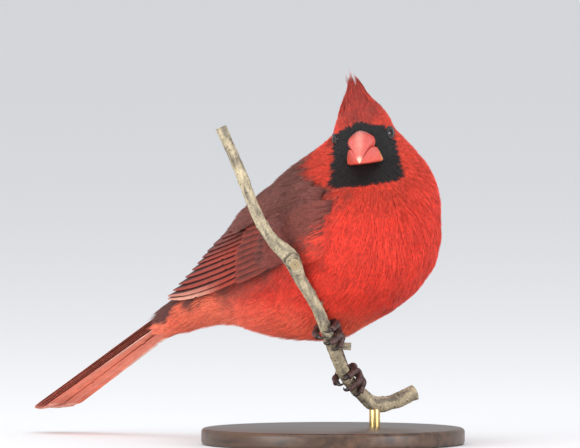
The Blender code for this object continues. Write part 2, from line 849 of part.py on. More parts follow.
def crest():
    locks = []
    for forward, tip_forward, tip_up, count, root_spread, tip_spread, lower in CREST_ROWS:
        for j in range(count):
            u = 2 * j / (count - 1) - 1
            root_up = 7.8 - 3.2 * u * u - 0.012 * (forward + 1) ** 2
            tip_left = u * tip_spread + CREST_LEAN * (tip_up / CREST_TOP) ** 2
            tip = (tip_forward - 0.8 * u * u, tip_left, tip_up - lower * u * u)
            locks.append(crest_lock((forward, u * root_spread, root_up), tip))
    return locks


union(skull_piece, crest() + [eyelids(-1), eyelids(1)])
for name, side in (("eye_right", -1), ("eye_left", 1)):
    ball_piece = eye(name, side)
    cut(skull_piece, swollen(ball_piece, GAP), "MANIFOLD")
    shade(ball_piece)
upper = bill_half("bill_upper", UPPER_BILL, UPPER_TIP, 1.6)
lower = bill_half("bill_lower", LOWER_BILL, LOWER_TIP, 3.6)
for piece in (upper, lower):
    cut(skull_piece, swollen(piece, GAP), "MANIFOLD")
for side in (-1, 1):
    cut(upper, nostril(side))
for piece in (upper, lower):
    shade(piece)


# Perch: one crooked length of stem, cut at the top and broken at its lower end

STEM = [
    (-17.8, -51.6, 45.5),
    (-12.5, -47.5, 30.1),
    (-7.3, -44.4, 14.9),
    (-3.2, -41.3, 5.8),
    (2.6, -36.5, -2),
    (2.8, -31.6, -9.4),
    (3.1, -23.5, -18.7),
    (2.1, -17, -26.8),
    (-1, -6.9, -37.4),
    (-3.2, -0.4, -43.7),
    (-4.1, 5.3, -48.7),
    (-3.4, 11, -53.1),
    (-2.4, 16.8, -56.6),
    (0.4, 23.2, -56.3),
    (4.6, 31.3, -52.8),
]
# How much thicker or thinner the stem is than its usual radius at each of those points
STEM_SWELL = [0.93, 0.93, 0.95, 1, 1.38, 1.03, 0.98, 1, 1.05, 1.05, 1.05, 1.08, 1.25, 1.22, 1.3]
STEM_SIDES = 9
STEM_STEPS = 28
# Side shoots: root, end, radius at the root and at the end
SHOOTS = [
    ((2.6, -36.5, -2.6), (7.6, -40, -4), 2.6, 2.2),
    ((0.4, -10.5, -34.2), (5.8, -6.4, -34.8), 1.2, 1.5),
    ((2.8, -22, -20.5), (5.6, -21.4, -17.3), 1.2, 0.5),
]


def stem_point(t):
    """A point of the stem's smooth middle line. t counts STEM's points."""
    rows = [(k, *point) for k, point in enumerate(STEM)]
    return Vector(through(rows, t))


def stem_swell(t):
    return through(list(enumerate(STEM_SWELL)), t)[0]


def stem_way(t):
    return (stem_point(t + 0.05) - stem_point(t - 0.05)).normalized()


def perch():
    places = [(len(STEM) - 1) * k / STEM_STEPS for k in range(STEM_STEPS + 1)]
    line = [body(*stem_point(t)) for t in places]
    radii = [STEM_THICKNESS / 2 * stem_swell(t) * MM for t in places]
    stem = tube("perch", line, radii, BARK, STEM_SIDES)
    shoots = []
    for root, end, first, last in SHOOTS:
        root, end = body(*root), body(*end)
        line = [root, root.lerp(end, 0.6), end]
        shoots.append(tube("shoot", line, [first * MM, (first + last) / 2 * MM, last * MM], BARK, 7))
    return union(stem, shoots)


# Legs. Each foot grips the stem: three toes pass round it on one side and the hind toe on the other.

# Place of each foot on the stem, and the top of its shank
FEET = {"right": (7.3, (-9, -9, -18)), "left": (9.7, (-14, 6, -27.5))}
TOE_RADIUS = 1.35
TOE_STEPS = 5
CLAW_RADIUS = 0.85
CLAW_STEPS = 4
# Toes: degrees round the stem, shift along the stem at the tip, claw's degrees
TOES = [(150, -4.6, 44), (182, 1.0, 46), (148, 4.9, 42), (-112, -1.9, 46)]


def foot_frame(which):
    place, ankle = FEET[which]
    middle, way = stem_point(place), stem_way(place)
    back = Vector(ankle) - middle
    back = (back - way * back.dot(way)).normalized()
    front = way.cross(back)
    if front.x < 0:
        front = -front
    return middle, way, back, front


def round_stem(which, degrees, radius, shift):
    middle, way, back, front = foot_frame(which)
    a = math.radians(degrees)
    return body(*(middle + (back * math.cos(a) + front * math.sin(a)) * radius + way * shift))


def grip(which):
    """Radius of the stem under a foot, with the gap between foot and bark."""
    place, _ = FEET[which]
    return STEM_THICKNESS / 2 * stem_swell(place) + 0.35


def leg(which):
    place, ankle = FEET[which]
    reach = grip(which)
    middle, _, back, _ = foot_frame(which)
    pad = middle + back * (reach + 1.5)
    line = [body(*pad), body(*pad.lerp(Vector(ankle), 0.15)), body(*pad.lerp(Vector(ankle), 0.6))]
    line += [body(*ankle)]
    shank = tube("leg_" + which, line, [1.5 * MM, 1.2 * MM, 1.15 * MM, 1.45 * MM], FOOT_BROWN, 8)
    toes = [ball("pad", body(*pad), 1.75 * MM, FOOT_BROWN, 10, 7)]
    for degrees, shift, _ in TOES:
        line, radii = [], []
        for k in range(TOE_STEPS + 1):
            t = k / TOE_STEPS
            knuckle = 1 + 0.09 * math.cos(2 * math.pi * 3 * t)
            radius = TOE_RADIUS * (1 - 0.26 * t) * knuckle
            line.append(round_stem(which, degrees * t, reach + radius + 0.25, shift * t**0.7))
            radii.append(radius * MM)
        toes.append(tube("toe", line, radii, FOOT_BROWN, 7))
    return union(shank, toes)


def claw(which, index):
    degrees, shift, sweep = TOES[index]
    reach = grip(which)
    line, radii = [], []
    start = math.copysign(abs(degrees) + 7, degrees)
    for k in range(CLAW_STEPS + 1):
        t = k / CLAW_STEPS
        radius = CLAW_RADIUS * (1 - 0.8 * t)
        lift = 0.25 + 0.5 * math.sin(math.pi * t)
        turn = start + math.copysign(sweep * t, degrees)
        line.append(round_stem(which, turn, reach + radius + lift, shift + 0.3 * t))
        radii.append(radius * MM)
    name = f"claw_{which}_{index + 1}"
    return tube(name, line, radii, CLAW_DARK, 7)


def foot_room(which):
    """A cutter that keeps the belly clear of a foot."""
    place, _ = FEET[which]
    line = [body(*stem_point(place + k * 0.14)) for k in range(-4, 5)]
    radii = [r * MM for r in (3, 5.2, 6.2, 6.6, 6.6, 6.6, 6.2, 5.2, 3)]
    cutter = tube("foot_room", line, radii, FOOT_BROWN, 12)
    PARTS.objects.unlink(cutter)
    CUTTERS.objects.link(cutter)
    return cutter


stem = perch()
stem_room = swollen(stem, 0.35 * MM)
cut(torso, stem_room, "MANIFOLD")
for which in FEET:
    cut(torso, foot_room(which), "MANIFOLD")
for which in FEET:
    shank = leg(which)
    cut(torso, swollen(shank, GAP), "MANIFOLD")
    shade(shank)
    for index in range(len(TOES)):
        shade(claw(which, index))


# Stand: a turned wooden base and one short brass rod, let into the base and the stem

ROD_PLACE = (-2.4, 17)
BASE_PLACE = (-8, 0)
BASE_TOP = -65
ROD_TOP = -56.6
ROD_DEPTH = 2.5  # how far the rod is let into the base


def disc(name, place, bottom, top, radius, finish, segments):
    bm = bmesh.new()
    bmesh.ops.create_cone(
        bm, cap_ends=True, segments=segments, radius1=radius * MM, radius2=radius * MM,
        depth=(top - bottom) * MM,
    )
    bmesh.ops.translate(bm, verts=bm.verts, vec=body(*place, (top + bottom) / 2))
    mesh = bpy.data.meshes.new(name)
    bm.to_mesh(mesh)
    bm.free()
    mesh.materials.append(finish)
    obj = bpy.data.objects.new(name, mesh)
    PARTS.objects.link(obj)
    return obj


def stand():
    base = disc("stand_base", BASE_PLACE, BASE_TOP - BASE_HEIGHT, BASE_TOP, BASE_RADIUS, STAND_WOOD, 44)
    bevel = base.modifiers.new("bevel", "BEVEL")
    bevel.width = 1.2 * MM
    bevel.segments = 1
    bevel.limit_method = "ANGLE"
    settle(base)
    rod = disc("stand_rod", ROD_PLACE, BASE_TOP - ROD_DEPTH, ROD_TOP, ROD_RADIUS, STAND_BRASS, 20)
    hole = disc(
        "rod_hole", ROD_PLACE, BASE_TOP - ROD_DEPTH - 0.3, ROD_TOP + 0.3, ROD_RADIUS + 0.3,
        STAND_BRASS, 20,
    )
    cut(base, hole)
    cut(stem, hole, "MANIFOLD")
    drop(hole)
    for piece in (base, rod):
        shade(piece)


stand()

for piece in (torso, skull_piece, neck_piece):
    keep_largest(piece)
    shade(piece)
shade(stem, 60)
for cutter in list(CUTTERS.objects):
    drop(cutter)
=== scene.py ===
"""The looks of a perched male northern cardinal: skin, feathers, bill, eyes, feet, perch and stand.

Places are in millimetres from the middle of the trunk, +X the way the body heads, +Y its left,
+Z up, and become metres over the stand's underside when a mesh is made.
"""

import math

import bpy
import numpy as np
from mathutils import Matrix, Vector
from mathutils.bvhtree import BVHTree
from mathutils.kdtree import KDTree


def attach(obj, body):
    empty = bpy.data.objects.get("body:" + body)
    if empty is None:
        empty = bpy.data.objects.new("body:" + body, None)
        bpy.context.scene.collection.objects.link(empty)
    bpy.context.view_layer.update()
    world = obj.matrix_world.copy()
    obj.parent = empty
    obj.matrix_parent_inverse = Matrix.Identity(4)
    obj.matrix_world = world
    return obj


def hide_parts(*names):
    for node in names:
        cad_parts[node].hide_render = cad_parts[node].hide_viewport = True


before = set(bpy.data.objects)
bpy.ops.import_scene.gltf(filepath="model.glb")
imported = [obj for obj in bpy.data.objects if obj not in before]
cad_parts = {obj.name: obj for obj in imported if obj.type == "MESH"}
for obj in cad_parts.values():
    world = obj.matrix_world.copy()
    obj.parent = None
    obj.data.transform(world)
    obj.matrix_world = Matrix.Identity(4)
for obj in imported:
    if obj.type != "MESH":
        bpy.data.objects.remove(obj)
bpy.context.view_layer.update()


# Skin. The real bird's skin is one loose sheet over breast, neck and skull, and carries all the
# small feathers. Here it is one closed surface, set in from the solids by the depth of the coat.

MIDDLE = np.array((8.0, 0.0, 71.0))
HEAD_CENTRE = np.array((9.0, -3.0, 42.0))
NECK_TURN = 40
SKIN_CELL = 0.8
SKIN_SMOOTHING = 21
ROUND = np.linspace(0, 2 * math.pi, 48, endpoint=False)

BREAST = np.array(
    [
        (-31.6, -14, 0, 11, 9),
        (-28, -13.6, 0, 16, 14.5),
        (-22.5, -7.6, 0, 22.2, 21.4),
        (-15, -2.6, 0, 27.4, 26.4),
        (-5.5, 0, 0, 32.5, 30),
        (5, 0.5, 0, 34.5, 31.5),
        (13, 0.8, 0, 33.5, 31.5),
    ]
)
NECK = np.array(
    [
        (14, 0.8, 0, 32.8, 31.5),
        (20, 1.2, 0.5, 31.8, 29.5),
        (25, 1.9, 1, 29.8, 25.5),
        (30, 3.4, 0.5, 26, 20.5),
        (34, 4.8, -0.5, 21.7, 16),
        (38, 5.8, -2, 17.3, 13),
        (42, 6.3, -4, 13, 11),
        (46, 6, -5, 9, 9),
    ]
)
RUMP = np.array(
    [
        (-84, 6, -25, -32),
        (-80, 8.5, -20.5, -32),
        (-70, 11.5, -11.5, -29.5),
        (-60, 14.5, -2, -28),
        (-50, 18, 8.5, -28.5),
        (-40, 22, 18, -31),
        (-30, 25.5, 24.5, -32.5),
        (-20, 28, 29.5, -33),
        (-10, 28.5, 31, -31),
        (5, 24, 19, -22),
    ]
)
SKULL = np.array(
    [
        (-11.8, 5.5, 7.5, -4),
        (-8, 9.7, 11.3, -9),
        (-4, 11.2, 12.2, -11.5),
        (0, 11.4, 12, -12.5),
        (4, 10.6, 10.5, -12.5),
        (7, 9, 8, -12),
        (9.5, 6.6, 5, -10),
    ]
)
CREST_CORE = np.array([(6, -1.5, 10, 10), (9.5, -3.2, 8, 7.6), (12.2, -5, 5, 4.4)])


def turned(axis, degrees):
    return np.array(Matrix.Rotation(math.radians(degrees), 3, axis))


HEAD_AXES = turned("Z", -55.5) @ turned("Y", 12) @ turned("X", 8)


def head(points):
    """Points measured forward, left and up from the middle of the skull."""
    return np.asarray(points, float) @ HEAD_AXES.T + HEAD_CENTRE


def in_head(points):
    return (np.asarray(points) - HEAD_CENTRE) @ HEAD_AXES


def step(low, high, value):
    """0 below low, 1 above high, and a smooth rise between them."""
    t = np.clip((value - low) / (high - low), 0, 1)
    return t * t * (3 - 2 * t)


def fuller(wave, fullness):
    return np.sign(wave) * np.abs(wave) ** (2 / fullness)


def unit(vectors):
    return vectors / np.maximum(np.linalg.norm(vectors, axis=-1, keepdims=True), 1e-9)


def upright_rings(table, fullness=2.0):
    rings = []
    squareness = np.where(np.sin(ROUND) > 0, fullness, 2.0)
    for forward, half_width, top, bottom in table:
        across = half_width * fuller(np.cos(ROUND), squareness)
        rise = (top + bottom) / 2 + (top - bottom) / 2 * fuller(np.sin(ROUND), squareness)
        rings.append(np.stack([np.full_like(ROUND, forward), across, rise], 1))
    return rings


def loft(rings, first_pole, last_pole):
    """Points and triangles of a closed skin over rings of equal count."""
    count, sides = len(rings), len(rings[0])
    points = np.concatenate([*rings, [first_pole], [last_pole]])
    i, j = np.meshgrid(np.arange(count - 1), np.arange(sides), indexing="ij")
    k = (j + 1) % sides
    a, b, c, d = i * sides + j, i * sides + k, (i + 1) * sides + k, (i + 1) * sides + j
    faces = [np.stack([a, b, c], -1).reshape(-1, 3), np.stack([a, c, d], -1).reshape(-1, 3)]
    j = np.arange(sides)
    k = (j + 1) % sides
    last = (count - 1) * sides
    faces.append(np.stack([k, j, np.full(sides, count * sides)], 1))
    faces.append(np.stack([last + j, last + k, np.full(sides, count * sides + 1)], 1))
    return points, np.concatenate(faces)


def outward(points, faces):
    """Turns a closed shell's faces the right way round."""
    a, b, c = points[faces[:, 0]], points[faces[:, 1]], points[faces[:, 2]]
    if np.einsum("ij,ij->", a - points.mean(0), np.cross(b - a, c - a)) < 0:
        faces = faces[:, ::-1]
    return faces


def together(shells):
    """Joins shells, each of points and triangles, in one pair of arrays."""
    points, faces, start = [], [], 0
    for shell_points, shell_faces in shells:
        points.append(shell_points)
        faces.append(outward(shell_points, shell_faces) + start)
        start += len(shell_points)
    return np.concatenate(points), np.concatenate(faces)


def new_object(name, points, faces):
    """A smooth object at the origin, with the points' places in its mesh."""
    mesh = bpy.data.meshes.new(name)
    mesh.vertices.add(len(points))
    mesh.vertices.foreach_set("co", ((points + MIDDLE) * 0.001).astype(np.float32).ravel())
    mesh.loops.add(faces.size)
    mesh.loops.foreach_set("vertex_index", np.ascontiguousarray(faces, np.int32).ravel())
    mesh.polygons.add(len(faces))
    starts = np.arange(len(faces), dtype=np.int32) * faces.shape[1]
    mesh.polygons.foreach_set("loop_start", starts)
    mesh.update(calc_edges=True)
    mesh.shade_smooth()
    obj = bpy.data.objects.new(name, mesh)
    bpy.context.scene.collection.objects.link(obj)
    return obj


def choose(obj):
    bpy.ops.object.select_all(action="DESELECT")
    obj.select_set(True)
    bpy.context.view_layer.objects.active = obj


def apply_modifiers(obj):
    choose(obj)
    for modifier in list(obj.modifiers):
        bpy.ops.object.modifier_apply(modifier=modifier.name)


def mesh_points(obj):
    """Places of an object's points in millimetres, and the way out at each."""
    count = len(obj.data.vertices)
    places = np.empty(count * 3, np.float32)
    obj.data.vertices.foreach_get("co", places)
    ways = np.empty(count * 3, np.float32)
    obj.data.vertex_normals.foreach_get("vector", ways)
    return places.reshape(-1, 3).astype(float) * 1000 - MIDDLE, ways.reshape(-1, 3).astype(float)


def paint(obj, colours):
    """Stores one colour for each point, which the feather finishes read."""
    colours = np.clip(colours, 0, 1)
    layer = obj.data.color_attributes.new("plumage", "FLOAT_COLOR", "POINT")
    full = np.concatenate([colours, np.ones((len(colours), 1))], 1)
    layer.data.foreach_set("color", full.astype(np.float32).ravel())


def lay_flat(obj, name, places):
    """Stores a flat map with one place for each point of the mesh."""
    layer = obj.data.uv_layers.new(name=name)
    corners = np.empty(len(obj.data.loops), np.int32)
    obj.data.loops.foreach_get("vertex_index", corners)
    layer.uv.foreach_set("vector", places[corners].astype(np.float32).ravel())


def neck_rings():
    rings = []
    for height, along, across, half_a, half_b in BREAST:
        x = along + half_a * np.cos(ROUND)
        y = across + half_b * np.sin(ROUND)
        rings.append(np.stack([x, y, np.full_like(x, height)], 1))
    turn = math.radians(NECK_TURN)
    for height, along, across, half_a, half_b in NECK:
        x = along + half_a * np.cos(ROUND - turn)
        y = across + half_b * np.sin(ROUND - turn)
        flat = (math.cos(turn) * x - math.sin(turn) * y, math.sin(turn) * x + math.cos(turn) * y)
        rings.append(np.stack([*flat, np.full_like(x, height)], 1))
    return rings


skull_rings = [head(ring) for ring in upright_rings(SKULL)]
core_rings = []
for up, forward, half_a, half_b in CREST_CORE:
    flat = [forward + half_a * np.cos(ROUND), half_b * np.sin(ROUND), np.full_like(ROUND, up)]
    core_rings.append(head(np.stack(flat, 1)))
shells = [
    loft(neck_rings(), (-12, 0, -33), (4.6, 3.9, 49)),
    loft(upright_rings(RUMP, 2.4), (-88, 0, -29.5), (10, 0, -2)),
    loft(skull_rings, head((-13.3, 0, 2)), head((11, 0, -3))),
    loft(core_rings, head((-1, 0, 3)), head((-6.5, -0.3, 13.8))),
]
skin = new_object("skin", *together(shells))
melt = skin.modifiers.new("melt", "REMESH")
melt.mode = "VOXEL"
melt.voxel_size = SKIN_CELL * 0.001
even = skin.modifiers.new("even", "SMOOTH")
even.factor = 0.5
even.iterations = SKIN_SMOOTHING
apply_modifiers(skin)

FACE = head((9, 0, -2.5))  # middle of the bill's root
surface, surface_out = mesh_points(skin)
from_face = np.linalg.norm(surface - FACE, axis=1)
crest_part = step(5, 10, in_head(surface)[:, 2]) * step(34, 26, from_face)
coat_depth = 0.45 + 0.8 * step(7, 22, from_face) - 0.45 * crest_part
skin_places = surface - surface_out * coat_depth[:, None]
skin.data.vertices.foreach_set(
    "co", ((skin_places + MIDDLE) * 0.001).astype(np.float32).ravel()
)
skin.data.update()
skin_out = mesh_points(skin)[1]
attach(skin, "root")
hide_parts("head", "neck", "torso")


# Lie of the coat. Small feathers point away from the bill, back over crown and cheeks, down the
# breast, and along belly and back to the tail, as streamlines from the bill's root to the tail's.

CREST_POINT = head((-9.6, -1.6, 23.6))


def lie_of_coat():
    """For each point of the skin: how far along the body it is, 0 to 1, and the way feathers lie."""
    edges = np.empty(len(skin.data.edges) * 2, np.int32)
    skin.data.edges.foreach_get("vertices", edges)
    a, b = edges.reshape(-1, 2).T
    count = len(skin_places)
    front = from_face < 6.5
    rear = skin_places[:, 0] < -83
    free = ~(front | rear)
    degree = np.bincount(a, minlength=count) + np.bincount(b, minlength=count)
    along = np.where(front, 0.0, np.where(rear, 1.0, step(35, -85, skin_places[:, 0])))

    def pull(values):
        near = np.bincount(a, values[b], count) + np.bincount(b, values[a], count)
        return degree * values - near

    rest = -pull(along) * free
    move = rest.copy()
    size = rest @ rest
    for _ in range(700):
        drawn = pull(move) * free
        share = size / (move @ drawn)
        along = along + share * move
        rest = rest - share * drawn
        new_size = rest @ rest
        if new_size < 1e-12:
            break
        move = rest + new_size / size * move
        size = new_size
    way = np.zeros((count, 3))
    rise = ((along[b] - along[a])[:, None]) * (skin_places[b] - skin_places[a])
    for axis in range(3):
        way[:, axis] = np.bincount(a, rise[:, axis], count) + np.bincount(b, rise[:, axis], count)
    way = unit(way)
    for _ in range(6):
        total = way.copy()
        for axis in range(3):
            total[:, axis] += np.bincount(a, way[b, axis], count) + np.bincount(b, way[a, axis], count)
        way = unit(total)
    return along, way


along_body, coat_way = lie_of_coat()
to_crest = unit(CREST_POINT - skin_places)
coat_way = unit(coat_way * (1 - crest_part[:, None]) + to_crest * crest_part[:, None])
coat_way = unit(coat_way - skin_out * (coat_way * skin_out).sum(1, keepdims=True))


# Markings. The male is orange-red below and on the head, with a black mask round the bill, a duller
# crest, and a brown back whose feathers have grey edges. Skin and feathers take the same markings;
# the skin's are darker, as painted shade under the coat.

BREAST_RED = (0.72, 0.036, 0.018)
CHEEK_RED = (0.60, 0.040, 0.019)
BELLY_RED = (0.95, 0.13, 0.07)
CREST_RED = (0.25, 0.027, 0.021)
VENT_CORAL = (0.98, 0.18, 0.095)
# dusky flank just below the wing: partly its own duller colour, partly painted shade from the wing
FLANK_DUSKY_AND_WING_SHADE = (0.26, 0.06, 0.043)
LAP_DUSKY = (0.27, 0.045, 0.033)
BACK_BROWN = (0.155, 0.038, 0.028)
# Darker brown of the rump and upper tail coverts: partly their duller colour, partly painted shade under the crossed
# wing tips
RUMP_BROWN_AND_SHADE = (0.105, 0.032, 0.027)
MASK_BLACK = (0.009, 0.009, 0.010)

# The mask, as seen from in front of the face: height, its half width
MASK_WIDTH = [
    (-18.8, 0), (-18.3, 11), (-17, 13), (-12, 12.4), (-6, 11.6), (-1, 11.2), (1.3, 10.3), (2.4, 7.5), (3.6, 4), (5, 0)
]
# Where the brown of the back ends: height, how far forward, and for its lower side how far
# forward, height
BROWN_FRONT = [(-30, -30), (-10, -8), (2.5, 1.7), (16, 10), (23, 9), (28, -3), (33, -8), (38, -11), (50, -14)]
BROWN_BELOW = [(-90, -24), (-80, -24.5), (-70, -22), (-62, -18.5), (-50, -14), (-40, -10), (-20, -3), (10, 0)]


def ripple(points, size, seed):
    """Smooth uneven waves about size millimetres long, mostly from -1 to 1."""
    draw = np.random.default_rng(seed)
    waves = unit(draw.normal(size=(10, 3))) * draw.uniform(0.6, 1.7, (10, 1)) * 2 * math.pi / size
    shifts = draw.uniform(0, 2 * math.pi, 10)
    return np.sin(points @ waves.T + shifts).sum(1) / 3.2


def blend(first, second, share):
    return first + (np.asarray(second) - first) * share[:, None]


def markings(points):
    """Colour of the plumage at points on the body."""
    x, y, z = points.T
    forward, left, up = in_head(points).T
    wander = ripple(points, 7, 2)
    colour = np.tile(np.array(BREAST_RED), (len(points), 1))
    colour = blend(colour, CHEEK_RED, step(34, 20, np.linalg.norm(points - FACE, axis=1)))
    colour = blend(colour, BELLY_RED, step(-14, -27, z + 0.12 * (x + 20) + wander))
    colour = blend(colour, VENT_CORAL, step(-36, -54, x + 2 * wander) * step(-8, -20, z))
    front = np.interp(z, *np.transpose(BROWN_FRONT))
    below = np.interp(x, *np.transpose(BROWN_BELOW))
    brown = step(3.5, -3.5, x - front + 2.4 * wander) * step(-3, 3, z - below + 1.8 * wander)
    colour = blend(colour, BACK_BROWN, brown)
    # Towards the tail the back darkens: partly a duller rump, partly painted shade under the wing tips.
    colour = blend(colour, RUMP_BROWN_AND_SHADE, brown * step(-45, -62, x))
    # A band along the flank just below the wing's edge: partly the flank's own duskier colour, partly painted shade
    # cast by the wing.
    dusk_and_wing_shade = step(below - 14, below - 5, z) * step(-6, -20, x) * step(-56, -44, x) * (1 - brown)
    colour = blend(colour, FLANK_DUSKY_AND_WING_SHADE, dusk_and_wing_shade * np.clip(0.7 + 0.4 * ripple(points, 3.5, 5), 0, 1))
    lap = step(12, 1, x - front + 3 * wander) * step(-14, -4, z) * step(27, 16, z) * (1 - brown)
    colour = blend(colour, LAP_DUSKY, 0.8 * lap * np.clip(0.65 + 0.6 * ripple(points, 2.2, 7), 0, 1))
    crown = step(4.5, 11, up + 0.35 * forward + 0.7 * wander) * step(30, 24, np.linalg.norm(points - FACE, axis=1))
    colour = blend(colour, CREST_RED, 0.85 * crown)
    seen_up = 0.97 * up - 0.24 * forward
    half = np.interp(seen_up, *np.transpose(MASK_WIDTH), left=-3, right=-3)
    ragged = 0.5 * ripple(points, 1.5, 3) + 0.35 * ripple(points, 4, 4)
    behind = np.interp(seen_up, [-18, -9, -3, 1.5, 5], [1.0, 1.4, 1.8, 3.2, 5])
    mask = step(-0.4, 0.4, half - np.abs(left) + ragged) * step(-0.5, 0.5, forward - behind + ragged)
    return blend(colour, MASK_BLACK, mask)


# The skin shows only in the gaps between tufts, so it takes the markings at 0.55 of their brightness: painted shade
# under the coat.
paint(skin, markings(skin_places) * 0.55)
skin_map = np.stack(
    [
        0.5 + np.arctan2(skin_places[:, 1], skin_places[:, 2] + 4 + 0.3 * skin_places[:, 0]) * 0.156,
        0.01 + 0.98 * along_body,
    ],
    1,
)
lay_flat(skin, "OFBake", skin_map)


# Finish of the small feathers: matt, with a soft sheen along the edge, their colour stored at each
# point and broken up by a fine uneven grain.


def add_node(tree, kind, **values):
    made = tree.nodes.new(kind)
    for name, value in values.items():
        if name in made.inputs:
            made.inputs[name].default_value = value
        else:
            setattr(made, name, value)
    return made


def grain_group():
    """Breaks a colour up by an uneven grain, and gives the same grain as a height."""
    group = bpy.data.node_groups.new("uneven_grain", "ShaderNodeTree")
    face = group.interface
    face.new_socket("Colour", in_out="INPUT", socket_type="NodeSocketColor")
    face.new_socket("Place", in_out="INPUT", socket_type="NodeSocketVector")
    face.new_socket("Fineness", in_out="INPUT", socket_type="NodeSocketFloat")
    face.new_socket("Amount", in_out="INPUT", socket_type="NodeSocketFloat")
    face.new_socket("Colour", in_out="OUTPUT", socket_type="NodeSocketColor")
    face.new_socket("Height", in_out="OUTPUT", socket_type="NodeSocketFloat")
    given = group.nodes.new("NodeGroupInput")
    result = group.nodes.new("NodeGroupOutput")
    noise = add_node(group, "ShaderNodeTexNoise", Detail=4.0, Roughness=0.6)
    spread = add_node(group, "ShaderNodeMapRange")
    spread.inputs["From Min"].default_value = 0.25
    spread.inputs["From Max"].default_value = 0.75
    spread.inputs["To Min"].default_value = 0.35
    spread.inputs["To Max"].default_value = 1.5
    darker = add_node(group, "ShaderNodeMix", data_type="RGBA", blend_type="MULTIPLY")
    link = group.links.new
    link(given.outputs["Place"], noise.inputs["Vector"])
    link(given.outputs["Fineness"], noise.inputs["Scale"])
    link(noise.outputs["Fac"], spread.inputs["Value"])
    link(given.outputs["Amount"], darker.inputs["Factor"])
    link(given.outputs["Colour"], darker.inputs["A"])
    link(spread.outputs["Result"], darker.inputs["B"])
    link(darker.outputs["Result"], result.inputs["Colour"])
    link(noise.outputs["Fac"], result.inputs["Height"])
    return group


GRAIN = grain_group()


def new_material(name, roughness, **fixed):
    """A material with its fixed values set on the shader's own sockets."""
    made = bpy.data.materials.new(name)
    made.use_nodes = True
    shader = made.node_tree.nodes["Principled BSDF"]
    shader.inputs["Roughness"].default_value = roughness
    for key, value in fixed.items():
        shader.inputs[key.replace("_", " ")].default_value = value
    return made, made.node_tree, shader


def grained(tree, shader, source, fineness, amount, bump=0.0, distance=0.0001, coordinate=None):
    """Sends a colour through the grain to the shader, with a bump of the same grain."""
    if coordinate is None:
        coordinate = tree.nodes.new("ShaderNodeTexCoord").outputs["Object"]
    group = tree.nodes.new("ShaderNodeGroup")
    group.node_tree = GRAIN
    group.inputs["Fineness"].default_value = fineness
    group.inputs["Amount"].default_value = amount
    tree.links.new(source, group.inputs["Colour"])
    tree.links.new(coordinate, group.inputs["Place"])
    tree.links.new(group.outputs["Colour"], shader.inputs["Base Color"])
    if bump:
        relief = add_node(tree, "ShaderNodeBump", Strength=bump, Distance=distance)
        tree.links.new(group.outputs["Height"], relief.inputs["Height"])
        tree.links.new(relief.outputs["Normal"], shader.inputs["Normal"])
    return group


def stored_colour(tree):
    return add_node(tree, "ShaderNodeAttribute", attribute_name="plumage").outputs["Color"]


soft, tree, shader = new_material(
    "soft_plumage", 0.62, Sheen_Weight=0.18, Sheen_Roughness=0.4, Specular_IOR_Level=0.3
)
shader.inputs["Sheen Tint"].default_value = (1.0, 0.62, 0.5, 1)
grained(tree, shader, stored_colour(tree), 900.0, 0.5, 0.3)
skin.data.materials.append(soft)


# Wing surface. The folded wing lies in the flank. Its own measures are p from the wrist to the tip,
# q up across it, and a height off the surface, the same as the solids'.

WING_LINE = [
    (-10, 15.8, -27.2, 14.9, 8, 34),
    (-6, 12, -28.7, 13.5, 8, 34),
    (0, 6.5, -30.3, 11.7, 8, 34),
    (16, -9.5, -31, 7, 11, 42),
    (33, -26, -29, 1.5, 15, 52),
    (45, -37.5, -25.2, -3, 18, 66),
    (58, -49, -19.8, -7.5, 21, 84),
    (75, -65.5, -13, -13.5, 28, 95),
    (95, -81, -7, -19, 40, 100),
]
WING_SINK = [(-10, -1.5), (34, -1.5), (58, 0), (97, 0)]


def through(table, keys):
    """Reads a table at any keys, on a smooth curve through its rows."""
    rows = np.array(sorted(table), float)
    keys = np.clip(np.asarray(keys, float), rows[0, 0], rows[-1, 0])
    i = np.clip(np.searchsorted(rows[:, 0], keys, side="right") - 1, 0, len(rows) - 2)
    a, b = rows[i], rows[i + 1]
    before, after = rows[np.maximum(i - 1, 0)], rows[np.minimum(i + 2, len(rows) - 1)]
    span = b[..., :1] - a[..., :1]
    t = (keys[..., None] - a[..., :1]) / span
    slope_a = (b - before) / (b[..., :1] - before[..., :1])
    slope_b = (after - a) / (after[..., :1] - a[..., :1])
    value = (2 * t**3 - 3 * t**2 + 1) * a + (t**3 - 2 * t**2 + t) * span * slope_a
    value = value + (3 * t**2 - 2 * t**3) * b + (t**3 - t**2) * span * slope_b
    return value[..., 1:]


def wing_place(p, q, height, side):
    """Points of a folded wing and the way out there. side is -1 on the bird's right, 1 on its left."""
    p, q, height = np.broadcast_arrays(np.asarray(p, float), q, height)
    x, y, z, tilt, curve = np.moveaxis(through(WING_LINE, p), -1, 0)
    height = height + through(WING_SINK, p)[..., 0]
    tilt = np.radians(tilt)
    zero = np.zeros_like(tilt)
    level = np.stack([zero, -np.cos(tilt), np.sin(tilt)], -1)
    upward = np.stack([zero, np.sin(tilt), np.cos(tilt)], -1)
    bend = (q / curve)[..., None]
    curve = curve[..., None]
    out = level * np.cos(bend) + upward * np.sin(bend)
    at = np.stack([x, y, z], -1) + upward * curve * np.sin(bend)
    at = at - level * curve * (1 - np.cos(bend)) + out * height[..., None]
    mirror = np.array((1, -side, 1))
    return at * mirror, out * mirror


# Small feathers of the body. Each is a tuft of a few fine, tapered strands that fan out of one root
# and lie on the next ones, short on the face, longest and loosest under the belly.

STRAND_ROWS = np.array([0, 0.4, 0.75, 1.0])
STRAND_WIDTH = np.array([0.75, 1.0, 0.72, 0.0])
STRAND_FACES = np.array([(0, 3, 1), (0, 2, 3), (2, 5, 3), (2, 4, 5), (4, 6, 5)])
# Brightness along each strand: darker at the root as painted shade between the tufts, lighter at the tip as a painted
# highlight.
STRAND_ROOT_SHADE_TIP_HIGHLIGHT = np.array([0.58, 0.92, 1.05, 1.15])
EYE_PLACE = np.array((2.6, 8.4, 0.2))
EYE_OUT = unit(np.array((0.36, 0.93, 0.05)))


